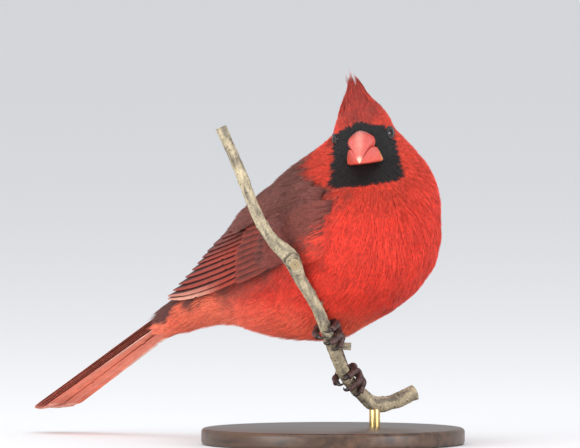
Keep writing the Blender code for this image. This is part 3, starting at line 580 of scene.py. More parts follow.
def tuft_strands(lines, outs, half_width, height, strand_width, count, wave, seed, colours, tips, spot):
    """Strands of many tufts at once.

    lines and outs hold three places on the skin along each tuft and the way out there. tips is the
    colour that the strands' ends turn to, with its share. spot is each root's place on the map.
    """
    draw = np.random.default_rng(seed)
    number = len(lines)
    x = np.linspace(-1, 1, count)[None] + draw.uniform(-0.5, 0.5, (number, count)) * 2 / count
    reach = 1 - 0.2 * x**2 - draw.uniform(0, 0.16, x.shape)
    s = STRAND_ROWS[None, None] * reach[..., None]
    weights = np.stack([(1 - s) * (1 - 2 * s), 4 * s * (1 - s), s * (2 * s - 1)], -1)
    slopes = np.stack([4 * s - 3, 4 - 8 * s, 4 * s - 1], -1)
    centre = np.einsum("ncrk,nkx->ncrx", weights, lines)
    out = unit(np.einsum("ncrk,nkx->ncrx", weights, outs))
    ahead = unit(np.einsum("ncrk,nkx->ncrx", slopes, lines))
    across = unit(np.cross(out, ahead))
    swing = draw.uniform(0, 2 * math.pi, x.shape)[..., None]
    aside = half_width[:, None, None] * x[..., None] * (0.3 + 0.7 * s)
    aside = aside + wave * s * np.sin(swing + 5 * s)
    lift = height[:, None, None] * (0.12 + 0.88 * s) * (1 - 0.22 * x[..., None] ** 2)
    lift = lift * (1 + draw.uniform(-0.3, 0.25, x.shape)[..., None])
    middle = centre + across * aside[..., None] + out * lift[..., None]
    tilt = draw.uniform(-0.5, 0.5, x.shape)[..., None, None]
    breadth = across * np.cos(tilt) + out * np.sin(tilt)
    wide = (strand_width * STRAND_WIDTH)[None, None, :, None] * breadth
    low, high = middle - wide, middle + wide
    points = np.stack(
        [low[:, :, 0], high[:, :, 0], low[:, :, 1], high[:, :, 1], low[:, :, 2], high[:, :, 2], middle[:, :, 3]],
        2,
    )
    rows = np.array([0, 0, 1, 1, 2, 2, 3])
    # Painted shade at the roots and a painted highlight at the tips, times a random tone for each strand.
    shade = STRAND_ROOT_SHADE_TIP_HIGHLIGHT[rows][None, None] * (1 + draw.normal(0, 0.13, x.shape))[..., None]
    tone = colours[:, None, None] * shade[..., None]
    end, share = tips
    share = (share * np.array([0, 0.05, 0.4, 1.0])[rows])[None, None, :, None]
    tone = tone + (end[:, None, None] - tone) * share
    flat = np.stack(
        [
            np.broadcast_to((x * 0.5 + 0.5)[..., None], shade.shape),
            np.broadcast_to(STRAND_ROWS[rows], shade.shape),
        ],
        -1,
    )
    flat = spot[:, None, None] + flat * 0.003
    total = number * count
    faces = (STRAND_FACES[None] + 7 * np.arange(total)[:, None, None]).reshape(-1, 3)
    return points.reshape(-1, 3), faces, tone.reshape(-1, 3), flat.reshape(-1, 2)


def coat_piece(name, parts, finish=soft, stands_for=()):
    """One piece of coat made of several lots of strands."""
    points, faces, tones, flats, start = [], [], [], [], 0
    for lot_points, lot_faces, lot_tones, lot_flats in parts:
        points.append(lot_points)
        faces.append(lot_faces + start)
        tones.append(lot_tones)
        flats.append(lot_flats)
        start += len(lot_points)
    obj = new_object(name, np.concatenate(points), np.concatenate(faces))
    paint(obj, np.concatenate(tones))
    lay_flat(obj, "OFBake", np.concatenate(flats))
    obj.data.materials.append(finish)
    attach(obj, "root")
    if stands_for:
        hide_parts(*stands_for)
    return obj


def spaced(apart, seed):
    """Numbers of skin points that lie at least so far apart, in an uneven scatter."""
    tree_of_points = KDTree(len(skin_places))
    for index, place in enumerate(skin_places):
        tree_of_points.insert(place, index)
    tree_of_points.balance()
    order = np.random.default_rng(seed).permutation(len(skin_places))
    taken = np.zeros(len(skin_places), bool)
    kept = []
    for index in order:
        if taken[index]:
            continue
        kept.append(index)
        for _, near, _ in tree_of_points.find_range(skin_places[index], apart[index]):
            taken[near] = True
    return np.array(kept)


def under_wing(points):
    """Which points of the skin the folded wings hide."""
    p = np.linspace(-8, 93, 102)
    hidden = np.zeros(len(points), bool)
    q = np.linspace(-12, 16, 29)
    grid_p, grid_q = np.meshgrid(p, q, indexing="ij")
    low = np.interp(grid_p, [-8, 0, 20, 60, 93], [-8, -10, -11.5, -8.5, -4])
    high = np.interp(grid_p, [-8, 0, 20, 45, 58, 72, 84, 93], [6, 8, 13, 14.5, 14, 12, 8, 2])
    for side in (-1, 1):
        places, _ = wing_place(grid_p, grid_q, 0.0, side)
        finder = KDTree(places.size // 3)
        for index, place in enumerate(places.reshape(-1, 3)):
            finder.insert(place, index)
        finder.balance()
        inside = (grid_p > 4) & (grid_q > low + 1.6) & (grid_q < high - 1.0)
        inside = inside.ravel()
        for index in np.flatnonzero(points[:, 1] * side > 0):
            _, near, gap = finder.find(points[index])
            hidden[index] |= inside[near] and gap < 6
    return hidden


skin_tree = BVHTree.FromPolygons(
    [Vector(place) for place in skin_places],
    [tuple(polygon.vertices) for polygon in skin.data.polygons],
)


def on_skin(points):
    """The nearest places on the skin and the way out there."""
    places, ways = np.empty_like(points), np.empty_like(points)
    for index, point in enumerate(points):
        place, way, _, _ = skin_tree.find_nearest(Vector(point))
        places[index] = place
        ways[index] = way
    return places, ways


def feather_length(points, distance):
    """How long the small feathers are at each place."""
    length = np.interp(distance, [5, 9, 14, 20, 32, 50], [1.6, 2.2, 3.2, 4.8, 7.4, 9.0])
    fluffy = step(-17, -29, points[:, 2]) * step(22, 8, points[:, 0])
    return length + 3.0 * fluffy, fluffy


lengths, looseness = feather_length(skin_places, from_face)
spacing = np.clip(0.13 * lengths, 0.5, 1.05)
roots = spaced(spacing, 11)
roots = roots[~under_wing(skin_places[roots])]
seen_from_head = in_head(skin_places[roots])
clear_of_eye = np.ones(len(roots), bool)
for side in (-1, 1):
    mirror = np.array((1, side, 1))
    offset = seen_from_head - EYE_PLACE * mirror
    out_of_face = EYE_OUT * mirror
    flat = offset - (offset @ out_of_face)[:, None] * out_of_face
    clear_of_eye &= (np.linalg.norm(flat, axis=1) > 2.6) | (offset @ out_of_face < 0)
clear_of_bill = from_face[roots] > 6.2
roots = roots[clear_of_eye & clear_of_bill]


def body_feathers():
    """Centre lines on the skin for all the small feathers."""
    draw = np.random.default_rng(21)
    place, out, way = skin_places[roots], skin_out[roots], coat_way[roots]
    turn = np.radians(draw.normal(0, 3.5, len(roots)) + 8 * ripple(place, 22, 22))[:, None]
    way = way * np.cos(turn) + np.cross(out, way) * np.sin(turn)
    length = lengths[roots] * draw.uniform(0.85, 1.15, len(roots))
    for side in (-1, 1):
        mirror = np.array((1, side, 1))
        eye = head(EYE_PLACE * mirror)
        outwards = (EYE_OUT * mirror) @ HEAD_AXES.T
        offset = place - eye
        near = np.abs(offset @ outwards) < 4
        flat = offset - (offset @ outwards)[:, None] * outwards
        reach = -(flat * way).sum(1)
        closest = np.sqrt(np.maximum((flat**2).sum(1) - reach**2, 0))
        meets = reach - np.sqrt(np.maximum(2.5**2 - closest**2, 0))
        crosses = near & (reach > 0) & (closest < 2.5)
        length = np.where(crosses, np.minimum(length, np.maximum(meets, 0.3)), length)
    middle, middle_out = on_skin(place + way * length[:, None] * 0.5)
    tip, tip_out = on_skin(middle + unit(middle - place) * length[:, None] * 0.5)
    lines = np.stack([place, middle, tip], 1)
    return lines, np.stack([out, middle_out, tip_out], 1), length


coat_lines, coat_outs, coat_length = body_feathers()
draw = np.random.default_rng(31)
taken_at = coat_lines[:, 0] * 0.4 + coat_lines[:, 2] * 0.6
coat_colour = markings(taken_at + draw.normal(0, 1, taken_at.shape) * step(18, 34, from_face[roots])[:, None])
patches = 0.07 * ripple(coat_lines[:, 1], 9, 32) + draw.normal(0, 0.055, len(roots))
coat_colour = coat_colour * (1 + patches[:, None])
brown_share = step(0.3, 0.15, coat_colour[:, 0]) * step(0.02, 0.05, coat_colour[:, 0])
# The colour the strands' ends turn to: paler on the red feathers as a painted highlight, grey on the brown back for its
# real grey edges, and black on the mask.
tip_colour = np.clip(coat_colour * 1.15 + np.array((0.08, 0.03, 0.02)), 0, 1)
tip_colour = blend(tip_colour, (0.24, 0.125, 0.11), brown_share)
black = step(0.05, 0.02, coat_colour[:, 0])
tip_colour = blend(tip_colour, (0.02, 0.02, 0.022), black)

SKIN_DEPTH = coat_depth[roots]
bands = [
    ("face_feathers", coat_length < 3.4, 6, 0.10, 0.06),
    ("head_feathers", (coat_length >= 3.4) & (coat_length < 5.6), 7, 0.11, 0.1),
    ("breast_feathers", (coat_length >= 5.6) & (coat_lines[:, 0, 0] > 4), 9, 0.125, 0.22),
    ("back_feathers", (coat_length >= 5.6) & (coat_lines[:, 0, 0] <= 4), 9, 0.13, 0.22),
]
for name, chosen, count, width, wave in bands:
    chosen = np.flatnonzero(chosen)
    chosen = chosen[np.argsort(coat_lines[chosen, 0, 1])]
    lots = max(1, math.ceil(len(chosen) * count * 5 / 190000))
    for lot, rows in enumerate(np.array_split(chosen, lots)):
        strands = tuft_strands(
            coat_lines[rows], coat_outs[rows], 0.25 * coat_length[rows],
            SKIN_DEPTH[rows] * (1.0 + 0.8 * looseness[roots[rows]]), width, count, wave, 40 + lot,
            coat_colour[rows], (tip_colour[rows], 0.5), skin_map[roots[rows]],
        )
        coat_piece(name if lots == 1 else f"{name}_{lot + 1}", [strands])


# Crest. Long narrow feathers of the crown, which the bird raises to one point. Each row stands
# behind the last and reaches further up, the same rows as in the solids but many more of them.

CREST_ROWS = [
    (-9.6, -12.4, 14.8, 4.3, 2.6, 4.2),
    (-6.8, -10.8, 20.4, 5.5, 1.4, 3.8),
    (-5.4, -9.8, 22.4, 4.8, 0.7, 1.6),
    (-3.4, -8.8, 21.2, 7, 1.5, 4.6),
    (0.2, -5.8, 18.2, 7.6, 4.6, 5.4),
    (3.6, -2.2, 14.8, 7.0, 5.4, 5.0),
    (6.8, 1.8, 11.8, 4.8, 3.8, 4.4),
]
CREST_LEAN = -1.9
WISPS = [((-8, -1, 6.4), (-10.6, -3.0, 23.8)), ((-8.5, -2, 6), (-11.2, -4.6, 22.4)), ((-9, -2.4, 5), (-11.6, -4.3, 18.4))]


def crest_lines():
    lines, outs = [], []
    draw = np.random.default_rng(51)
    for row in range(40):
        forward = 7.6 - 17.4 * row / 39
        tip_forward, tip_up, root_spread, tip_spread, lower = through(CREST_ROWS, forward)
        count = 7 + int(round(root_spread))
        for j in range(count):
            u = np.clip(2 * j / (count - 1) - 1 + draw.normal(0, 0.05), -1, 1)
            root_up = 6.6 - 3.2 * u * u - 0.012 * (forward + 1) ** 2
            short = draw.uniform(0.88 + 0.07 * (tip_up > 19.5), 1.0)
            tip_left = u * tip_spread + CREST_LEAN * (tip_up / 21.8) ** 2
            root = np.array((forward + draw.normal(0, 0.25), u * root_spread, root_up))
            tip = np.array((tip_forward - 0.8 * u * u, tip_left, tip_up - lower * u * u))
            tip = root + (tip - root) * short
            lean = unit(tip - root)
            outward_way = np.array((root[0] + 4, root[1] * 1.4, 2.5))
            out = unit(outward_way - lean * (outward_way @ lean))
            bend = out * (0.9 + 0.5 * draw.uniform())
            lines.append([root, (root + tip) / 2 + bend, tip])
            outs.append([out, out, out])
    for root, tip in np.array(WISPS):
        lines.append([root, (root + tip) / 2 + (-0.8, 0, 0), tip])
        outs.append([np.array((-1.0, 0, 0))] * 3)
    lines = head(np.array(lines))
    outs = np.array(outs) @ HEAD_AXES.T
    return lines, outs


lock_lines, lock_outs = crest_lines()
lock_colour = markings(lock_lines[:, 1] * 0.7 + lock_lines[:, 0] * 0.3)
draw = np.random.default_rng(52)
lock_colour = lock_colour * (1 + draw.normal(0, 0.1, (len(lock_colour), 1)))
lock_tip = np.clip(lock_colour * 1.15 + np.array((0.03, 0.01, 0.008)), 0, 1)
lock_spot = np.stack(
    [0.5 + 0.02 * in_head(lock_lines[:, 0])[:, 1], 0.30 - 0.008 * in_head(lock_lines[:, 0])[:, 0]], 1
)
crest_strands = tuft_strands(
    lock_lines, lock_outs, np.full(len(lock_lines), 0.85), np.full(len(lock_lines), 0.3), 0.11, 12, 0.12,
    53, lock_colour, (lock_tip, 0.6), lock_spot,
)
coat_piece("crest_feathers", [crest_strands])


# Stiff feathers. A flight feather, tail feather or covert is one thin curved vane on a shaft, with
# barbs set slantwise on it, and its edge splits here and there where barbs have come apart.

VANE_COLUMNS = np.array([-1, -0.82, -0.6, -0.36, -0.14, -0.05, 0, 0.05, 0.14, 0.36, 0.6, 0.82, 1])


def vane_shell(place, start, end, bow, low_width, high_width, height, rows, seed, round_tip=0.14, slant=1.0):
    """One feather as a closed thin shell. slant is where its lower web starts to taper.

    place maps two measures and a height to points and the way out. height(t, offset) is that of the
    vane's middle layer. Gives points, triangles, and for each point: across, along, side.
    """
    draw = np.random.default_rng(seed)
    t = np.linspace(0, 1, rows) ** 0.9
    c = VANE_COLUMNS
    shape = 0.55 + 0.45 * np.minimum(1, t / 0.35)
    tip = np.clip((t - (1 - round_tip)) / (round_tip * 1.03), 0, 1)
    shape = shape * np.sqrt(np.maximum(1 - tip**2, 0.004))
    splits = np.ones((rows, 2))
    for _ in range(3):
        splits[draw.integers(rows // 4, rows - 2), draw.integers(0, 2)] = draw.uniform(0.72, 0.9)
    splits *= 1 - draw.uniform(0, 0.035, splits.shape)
    wide = np.where(c[None] < 0, low_width * splits[:, :1], high_width * splits[:, 1:]) * shape[:, None]
    if slant < 1:
        taper = np.clip((t - slant) / (1.02 - slant), 0, 1)[:, None]
        wide = wide * np.where(c[None] < 0, np.sqrt(1 - taper**1.6), np.clip((1.01 - t[:, None]) / 0.1, 0, 1))
    offset = c[None] * wide
    first = start[0] + (end[0] - start[0]) * t[:, None] + 0 * offset
    second = start[1] + (end[1] - start[1]) * t[:, None] + (bow * np.sin(math.pi * t))[:, None] + offset
    level = height(t[:, None], offset, first, second)
    camber = 0.22 * (1 - np.abs(c[None]) ** 1.6) * shape[:, None]
    shaft = 0.16 * np.maximum(0, 1 - np.abs(c[None]) / 0.1) * (1.15 - t[:, None])
    waves = 0.05 * np.sin(draw.uniform(0, 6) + 9 * t[:, None]) * np.abs(c[None])
    top, out = place(first, second, level + camber + shaft + waves)
    below, _ = place(first, second, level + camber - 0.1 - 0.6 * shaft + waves)
    n, m = offset.shape
    points = np.concatenate([top.reshape(-1, 3), below.reshape(-1, 3)])
    i, j = np.meshgrid(np.arange(n - 1), np.arange(m - 1), indexing="ij")
    a, b, d, e = i * m + j, i * m + j + 1, (i + 1) * m + j + 1, (i + 1) * m + j
    quads = np.stack([a, b, d, e], -1).reshape(-1, 4)
    faces = [quads, quads[:, ::-1] + n * m]
    rim = np.concatenate(
        [np.arange(m), np.arange(1, n) * m + m - 1, (n - 1) * m + np.arange(m - 2, -1, -1), np.arange(n - 2, 0, -1) * m]
    )
    after = np.roll(rim, -1)
    faces.append(np.stack([after, rim, rim + n * m, after + n * m], 1))
    faces = np.concatenate(faces)
    faces = np.concatenate([faces[:, [0, 1, 2]], faces[:, [0, 2, 3]]])
    across = np.tile(np.broadcast_to(c[None], (n, m)).ravel(), 2)
    along = np.tile(np.broadcast_to(t[:, None], (n, m)).ravel(), 2)
    under = np.repeat([0.0, 1.0], n * m)
    length = math.hypot(end[0] - start[0], end[1] - start[1])
    barbs = np.stack([np.tile(offset.ravel(), 2), along * length], 1) * 0.1
    faces = outward_vane(points, faces, out.reshape(-1, 3), n * m)
    return points, faces, across, along, under, barbs


def outward_vane(points, faces, out, half):
    """Turns the shell's faces so that its upper side looks the way out."""
    upper = faces[(faces < half).all(1)]
    a, b, c = points[upper[:, 0]], points[upper[:, 1]], points[upper[:, 2]]
    if (np.cross(b - a, c - a) * out[upper[:, 0]]).sum() < 0:
        faces = faces[:, ::-1]
    return faces


def vane_piece(name, feathers, finish, stands_for=()):
    """Joins feathers, each a shell and its colours, as one piece."""
    points, faces, tones, barbs, flats, start = [], [], [], [], [], 0
    side = math.ceil(math.sqrt(len(feathers)))
    for index, ((place, face, across, along, under, barb), tone) in enumerate(feathers):
        points.append(place)
        faces.append(face + start)
        tones.append(tone)
        barbs.append(barb)
        corner = np.array((index % side, index // side)) / side
        flat = np.stack([(across * 0.5 + 0.5) * 0.45 + 0.5 * under, along * 0.94], 1)
        flats.append(corner + (0.02 + flat * 0.95) / side)
        start += len(place)
    obj = new_object(name, np.concatenate(points), np.concatenate(faces))
    obj.data.set_sharp_from_angle(angle=math.radians(60))
    paint(obj, np.concatenate(tones))
    lay_flat(obj, "OFBake", np.concatenate(flats))
    lay_flat(obj, "barbs", np.concatenate(barbs))
    obj.data.materials.append(finish)
    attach(obj, "root")
    if stands_for:
        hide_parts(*stands_for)
    return obj


stiff, tree, shader = new_material(
    "stiff_plumage", 0.6, Specular_IOR_Level=0.2
)
flat_map = add_node(tree, "ShaderNodeUVMap", uv_map="barbs").outputs["UV"]
parts = add_node(tree, "ShaderNodeSeparateXYZ")
tree.links.new(flat_map, parts.inputs["Vector"])
absolute = add_node(tree, "ShaderNodeMath", operation="ABSOLUTE")
tree.links.new(parts.outputs["X"], absolute.inputs[0])
slant = add_node(tree, "ShaderNodeMath", operation="MULTIPLY_ADD")
tree.links.new(absolute.outputs[0], slant.inputs[0])
slant.inputs[1].default_value = -1.1
tree.links.new(parts.outputs["Y"], slant.inputs[2])
lines = add_node(tree, "ShaderNodeCombineXYZ")
tree.links.new(slant.outputs[0], lines.inputs["X"])
barb_noise = add_node(tree, "ShaderNodeTexNoise", Scale=16.0, Detail=3.0, Roughness=0.7)
tree.links.new(lines.outputs["Vector"], barb_noise.inputs["Vector"])
group = grained(tree, shader, stored_colour(tree), 300.0, 0.35)
barb_range = add_node(tree, "ShaderNodeMapRange")
barb_range.inputs["From Min"].default_value = 0.3
barb_range.inputs["From Max"].default_value = 0.7
barb_range.inputs["To Min"].default_value = 0.7
barb_range.inputs["To Max"].default_value = 1.25
tree.links.new(barb_noise.outputs["Fac"], barb_range.inputs["Value"])
barbed = add_node(tree, "ShaderNodeMix", data_type="RGBA", blend_type="MULTIPLY")
barbed.inputs["Factor"].default_value = 0.8
tree.links.new(group.outputs["Colour"], barbed.inputs["A"])
tree.links.new(barb_range.outputs["Result"], barbed.inputs["B"])
tree.links.new(barbed.outputs["Result"], shader.inputs["Base Color"])
relief = add_node(tree, "ShaderNodeBump", Strength=0.35, Distance=0.0001)
tree.links.new(barb_noise.outputs["Fac"], relief.inputs["Height"])
tree.links.new(relief.outputs["Normal"], shader.inputs["Normal"])


# Wings. Flight feathers stack from the lowest primary up to the tertials, each over the one below,
# with rows of coverts over their roots. Outer webs are red-orange, inner ones dusky.

FLIGHT = [
    (94, -1, 2.4, -1.7),
    (95, 0.4, 2.4, -1.5),
    (92.5, 2.4, 2.4, -1.1),
    (89, 4.2, 2.5, -0.7),
    (84.5, 6.1, 2.6, -0.4),
    (80, 8, 2.8, 0),
    (76, 9.4, 2.9, 0),
    (72.5, 10.6, 3, 0),
    (69, 11.7, 3.1, 0),
    (64.5, 12.6, 3.3, 0.2),
    (58.5, 13, 3.4, 0.4),
    (52, 13.3, 3.4, 0.6),
]
FLIGHT_ROOT = 21
FLIGHT_LOW, FLIGHT_HIGH = -11, 11.9
FLIGHT_STEP = 0.82
WING_ARM = [
    (-4.5, -5, 4, -1.2, 0.4),
    (-1, -9, 7, -2, 1),
    (6, -11.5, 9.5, -2.2, 1.4),
    (15, -12.5, 12, -2.2, 1.4),
    (22, -13, 14, -2.2, 1.0),
    (27, -12.8, 15, -1.9, 0.2),
]
WEB_DUSKY = np.array((0.055, 0.019, 0.018))
WEB_RED = np.array((0.32, 0.043, 0.026))
WEB_PALE = np.array((0.78, 0.38, 0.28))
TERTIAL = np.array((0.15, 0.036, 0.028))
UNDER_WEB = np.array((0.30, 0.07, 0.05))


def flight_middle(p):
    """q of the lowest flight feather's middle line at p."""
    t = np.clip((p - FLIGHT_ROOT) / (FLIGHT[0][0] - FLIGHT_ROOT), 0, 1)
    return FLIGHT_LOW + (FLIGHT[0][1] - FLIGHT_LOW) * t + FLIGHT[0][3] * np.sin(math.pi * t)


def flight_feather(index, side):
    tip_p, tip_q, half_width, bow = FLIGHT[index]
    spread = (FLIGHT_HIGH - FLIGHT_LOW) / (len(FLIGHT) - 1)
    slope = FLIGHT_STEP / spread

    def place(p, q, height):
        return wing_place(p, q, height, side)

    def height(t, offset, p, q):
        return (FLIGHT_STEP * index - slope * (q - flight_middle(p))) * (0.35 + 0.65 * step(20, 31, p))

    start, end = (FLIGHT_ROOT, FLIGHT_LOW + spread * index), (tip_p, tip_q)
    shell = vane_shell(place, start, end, bow, half_width, half_width, height, 64, 100 + index, 0.05, 0.55)
    across, along, under = shell[2:5]
    tertial = step(5, 9, float(index))
    edge = WEB_RED + (TERTIAL * 1.25 - WEB_RED) * tertial
    if index < 2:
        pale = step(0.3, 0.7, along)[:, None] * (0.85 - 0.4 * index)
        edge = edge + (WEB_PALE - edge) * pale
    outer = step(-0.22, -0.38, across)[:, None]
    inner = WEB_DUSKY + (TERTIAL - WEB_DUSKY) * max(0.35, tertial)
    tone = inner + (edge - inner) * outer * (1 - 0.35 * tertial)
    tone = tone * (1 - 0.35 * step(0.85, 1.0, along)[:, None] * (index > 2))
    shaft = step(0.09, 0.02, np.abs(across))[:, None]
    tone = tone + (WEB_DUSKY * 0.5 - tone) * shaft * 0.7
    tone = tone + (UNDER_WEB - tone) * under[:, None] * 0.8
    return shell, tone


def covert(side, start, end, half_width, rise, slope, seed, base, edge):
    def place(p, q, height):
        return wing_place(p, q, height, side)

    def height(t, offset, p, q):
        return rise[0] + rise[1] * np.minimum(1, t / 0.55) - slope * offset

    shell = vane_shell(place, start, end, 0, half_width, half_width, height, 30, seed, 0.3)
    across, along = shell[2:4]
    rim = np.maximum(step(0.55, 0.95, np.abs(across)), step(0.8, 1.0, along))[:, None]
    dark = step(0.5, 0.1, np.abs(across))[:, None] * step(0.2, 0.5, along)[:, None]
    tone = base * (1 - 0.45 * dark) + (edge - base) * rim * 0.8
    return shell, np.clip(tone, 0.004, 1)


def wing_arm(side):
    turn = np.linspace(0, 2 * math.pi, 28, endpoint=False)
    rings = []
    for p, low, high, inner, outer in WING_ARM:
        q = (low + high) / 2 + (high - low) / 2 * fuller(np.cos(turn), 2.6)
        height = (inner + outer) / 2 + (outer - inner) / 2 * fuller(np.sin(turn), 2.6) - 0.3
        rings.append(wing_place(p, q, height, side)[0])
    first = wing_place(-6, 1, -0.8, side)[0]
    last = wing_place(29.5, 1, -1.2, side)[0]
    points, faces = loft(rings, first, last)
    return points, outward(points, faces)


def wing_tufts(side, seed, count, p_range, q_range, length, drop, heights, colour, tip, spread, strands, width):
    """Tufts laid in the wing's own measures, each pointing to the wing's tip."""
    draw = np.random.default_rng(seed)
    p = draw.uniform(*p_range, count)
    q = draw.uniform(*q_range, count)
    reach = length * draw.uniform(0.85, 1.15, count)
    fall = drop(p, q) + draw.normal(0, 0.35, count)
    line, outs = [], []
    for share, rise in zip((0, 0.5, 1), heights):
        place, out = wing_place(p + reach * share, q + fall * share, rise + 0.25 * draw.normal(0, 0.3, count), side)
        line.append(place)
        outs.append(out)
    line, outs = np.stack(line, 1), np.stack(outs, 1)
    tone = colour(p, q, line[:, 2]) * (1 + draw.normal(0, 0.12, (count, 1)))
    ends = tip(tone, p, q)
    spot = np.stack([0.5 + side * (0.25 - 0.004 * q), 0.35 + 0.004 * p], 1)
    return tuft_strands(
        line, outs, np.full(count, spread), np.full(count, 0.5), width, strands, 0.18, seed + 1,
        np.clip(tone, 0.004, 1), (ends, 0.55), spot,
    )


def grey_edge(tone, p, q):
    greyness = np.random.default_rng(460).uniform(0.3, 1.5, (len(p), 1)) ** 2
    return tone * 0.7 + np.array((0.11, 0.066, 0.060)) * greyness


def red_edge(tone, p, q):
    return np.clip(tone * 1.2 + np.array((0.09, 0.045, 0.035)), 0, 1)


def lesser_colour(p, q, place):
    brown = step(4, -7, q + ripple(place, 6, 8) * 1.5)[:, None]
    return np.array((0.16, 0.036, 0.028)) * (1 - brown) + np.array((0.22, 0.034, 0.024)) * brown


def fringe_colour(p, q, place):
    mixed = np.random.default_rng(445).uniform(-5, 5, len(p))
    share = step(-3, 3, q + 12 + 0.9 * p + mixed + ripple(place, 6, 9))[:, None]
    return np.array((0.66, 0.042, 0.02)) * (1 - share) + np.array((0.17, 0.036, 0.027)) * share


for side, which in ((-1, "right"), (1, "left")):
    arm = new_object(f"wing_{which}_arm", *wing_arm(side))
    # The arm shows only between the small coverts, and is painted darker than them as painted shade under that coat.
    paint(arm, np.tile((0.09, 0.022, 0.018), (len(arm.data.vertices), 1)))
    arm_places, _ = mesh_points(arm)
    lay_flat(arm, "OFBake", np.stack([0.5 + arm_places[:, 0] * 0.008, 0.5 + arm_places[:, 2] * 0.012], 1))
    arm.data.materials.append(soft)
    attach(arm, "root")
    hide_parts("wing_" + which)

    flight = [flight_feather(index, side) for index in range(len(FLIGHT))]
    vane_piece(f"wing_{which}_flight_feathers", flight, stiff, ("wing_" + which,))

    draw = np.random.default_rng(300)
    coverts = []
    for index in range(11):
        u = index / 10
        tip_p = 38 - 7 * abs(u - 0.3) + draw.uniform(-1.6, 1.6)
        coverts.append(
            covert(
                side, (19, -11 + 22 * u), (tip_p, -11.4 + 24 * u), 2.1, (0.6, 0.85), 0.08,
                310 + index, np.array((0.17, 0.036, 0.027)), np.array((0.29, 0.046, 0.03)),
            )
        )
    for index in range(10):
        u = index / 9
        tip_p = 26 - 6 * abs(u - 0.4) + draw.uniform(-1.6, 1.6)
        coverts.append(
            covert(
                side, (10, -9.4 + 18 * u), (tip_p, -9.8 + 20.5 * u), 2.1, (0.8, 0.9), 0.07,
                330 + index, np.array((0.12, 0.031, 0.025)), np.array((0.17, 0.046, 0.036)),
            )
        )
    vane_piece(f"wing_{which}_coverts", coverts, stiff, ("wing_" + which,))

    lesser = wing_tufts(
        side, 400, 900, (-3, 17), (-11, 11.5), 5.6, lambda p, q: 0.12 * q + 0 * p, (1.1, 1.9, 2.3),
        lesser_colour, grey_edge, 1.5, 9, 0.13,
    )
    scapulars = wing_tufts(
        side, 420, 900, (3, 36), (9, 16), 8.5, lambda p, q: -0.9 + 0 * p, (1.4, 2.3, 2.7),
        lambda p, q, place: np.tile(BACK_BROWN, (len(p), 1)), grey_edge, 1.8, 10, 0.13,
    )
    fringe = wing_tufts(
        side, 440, 900, (-8, 3), (-13, 5), 8.5, lambda p, q: 0.15 * q + 0 * p, (0.9, 1.9, 2.7),
        fringe_colour, red_edge, 1.3, 7, 0.13,
    )
    coat_piece(f"wing_{which}_small_coverts", [lesser, scapulars, fringe], soft, ("wing_" + which,))


# Tail. Twelve long feathers in one flat stack, the middle pair on top and each next pair a little
# lower, shorter and further out. Dull maroon above, coral below.

TAIL_ROOT = np.array((-59.5, 0.0, -8.3))
TAIL_DROOP = math.radians(30.3)
TAIL_AXIS = np.array((-math.cos(TAIL_DROOP), 0, -math.sin(TAIL_DROOP)))
TAIL_UP = np.array((-math.sin(TAIL_DROOP), 0, math.cos(TAIL_DROOP)))
TAIL_FEATHERS = [
    (103.2, 0.9, 2.7, 4, -1.64),
    (101.8, 1.3, 3.6, 4, -2.46),
    (100.5, 1.7, 4.4, 4, -3.28),
    (98.5, 2.1, 5.1, 3.9, -4.10),
    (95, 2.5, 5.7, 3.6, -4.88),
]
TAIL_MIDDLE = [(105.2, 0.3, 0.5, 4.9, 0), (104.7, -0.3, -0.5, 4.9, -0.82)]
TAIL_TOP = np.array((0.115, 0.024, 0.022))
TAIL_EDGE = np.array((0.22, 0.036, 0.028))
TAIL_BELOW = np.array((0.88, 0.22, 0.13))


def tail_place(along, left, up):
    flat = np.stack([0 * left, left, 0 * left], -1) + TAIL_UP * up[..., None]
    out = np.broadcast_to(TAIL_UP, flat.shape)
    return TAIL_ROOT + TAIL_AXIS * along[..., None] + flat, out


def tail_feather(row, seed):
    length, root, tip, half_width, step_down = row
    outer_way = np.sign(root)
    drop = 0.3 if step_down < -4.5 else 0.72
    step_down = step_down - 0.22 * (step_down < -4.5 and root > 0)

    def height(t, offset, along, left):
        outward_share = np.abs(offset) if step_down > -1 else np.maximum(offset * outer_way, 0)
        return step_down - 0.12 - drop * step(0.45, 1.0, outward_share / half_width) ** 1.3

    widths = (half_width, half_width)
    if step_down < -4.5:
        widths = (half_width, abs(tip) - 0.2) if root < 0 else (abs(tip) - 0.2, half_width)
    shell = vane_shell(tail_place, (-2, root), (length, tip), 0, *widths, height, 90, seed, 0.035)
    across, along, under = shell[2:5]
    edge = step(0.55, 0.95, np.abs(across))[:, None]
    shaft = step(0.08, 0.02, np.abs(across))[:, None]
    above = TAIL_TOP + (TAIL_EDGE - TAIL_TOP) * edge
    above = above + (np.array((0.05, 0.014, 0.012)) - above) * shaft
    above = above * (1 + 0.6 * step(0.5, 1.0, along)[:, None])
    below = TAIL_BELOW * (1 - 0.2 * step(0.86, 0.97, along)[:, None])
    below = blend(below, (0.9, 0.5, 0.4), 0.7 * step(0.984, 0.992, along))
    below = below + (np.array((0.85, 0.5, 0.4)) - below) * shaft * 0.5
    tone = above + (below - above) * under[:, None]
    if step_down < -4.5:
        rim = step(0.55, 0.8, across * outer_way) * step(0.85, 0.5, along)
        tone = blend(tone, (0.95, 0.74, 0.64), 0.9 * rim)
    return shell, tone


tail_feathers = [tail_feather(row, 500 + k) for k, row in enumerate(TAIL_MIDDLE)]
for k, (length, root, tip, half_width, step_down) in enumerate(TAIL_FEATHERS):
    for side in (-1, 1):
        row = (length, side * root, side * tip, half_width, step_down)
        tail_feathers.append(tail_feather(row, 510 + 2 * k + (side > 0)))
vane_piece("tail_feathers", tail_feathers, stiff, ("tail",))

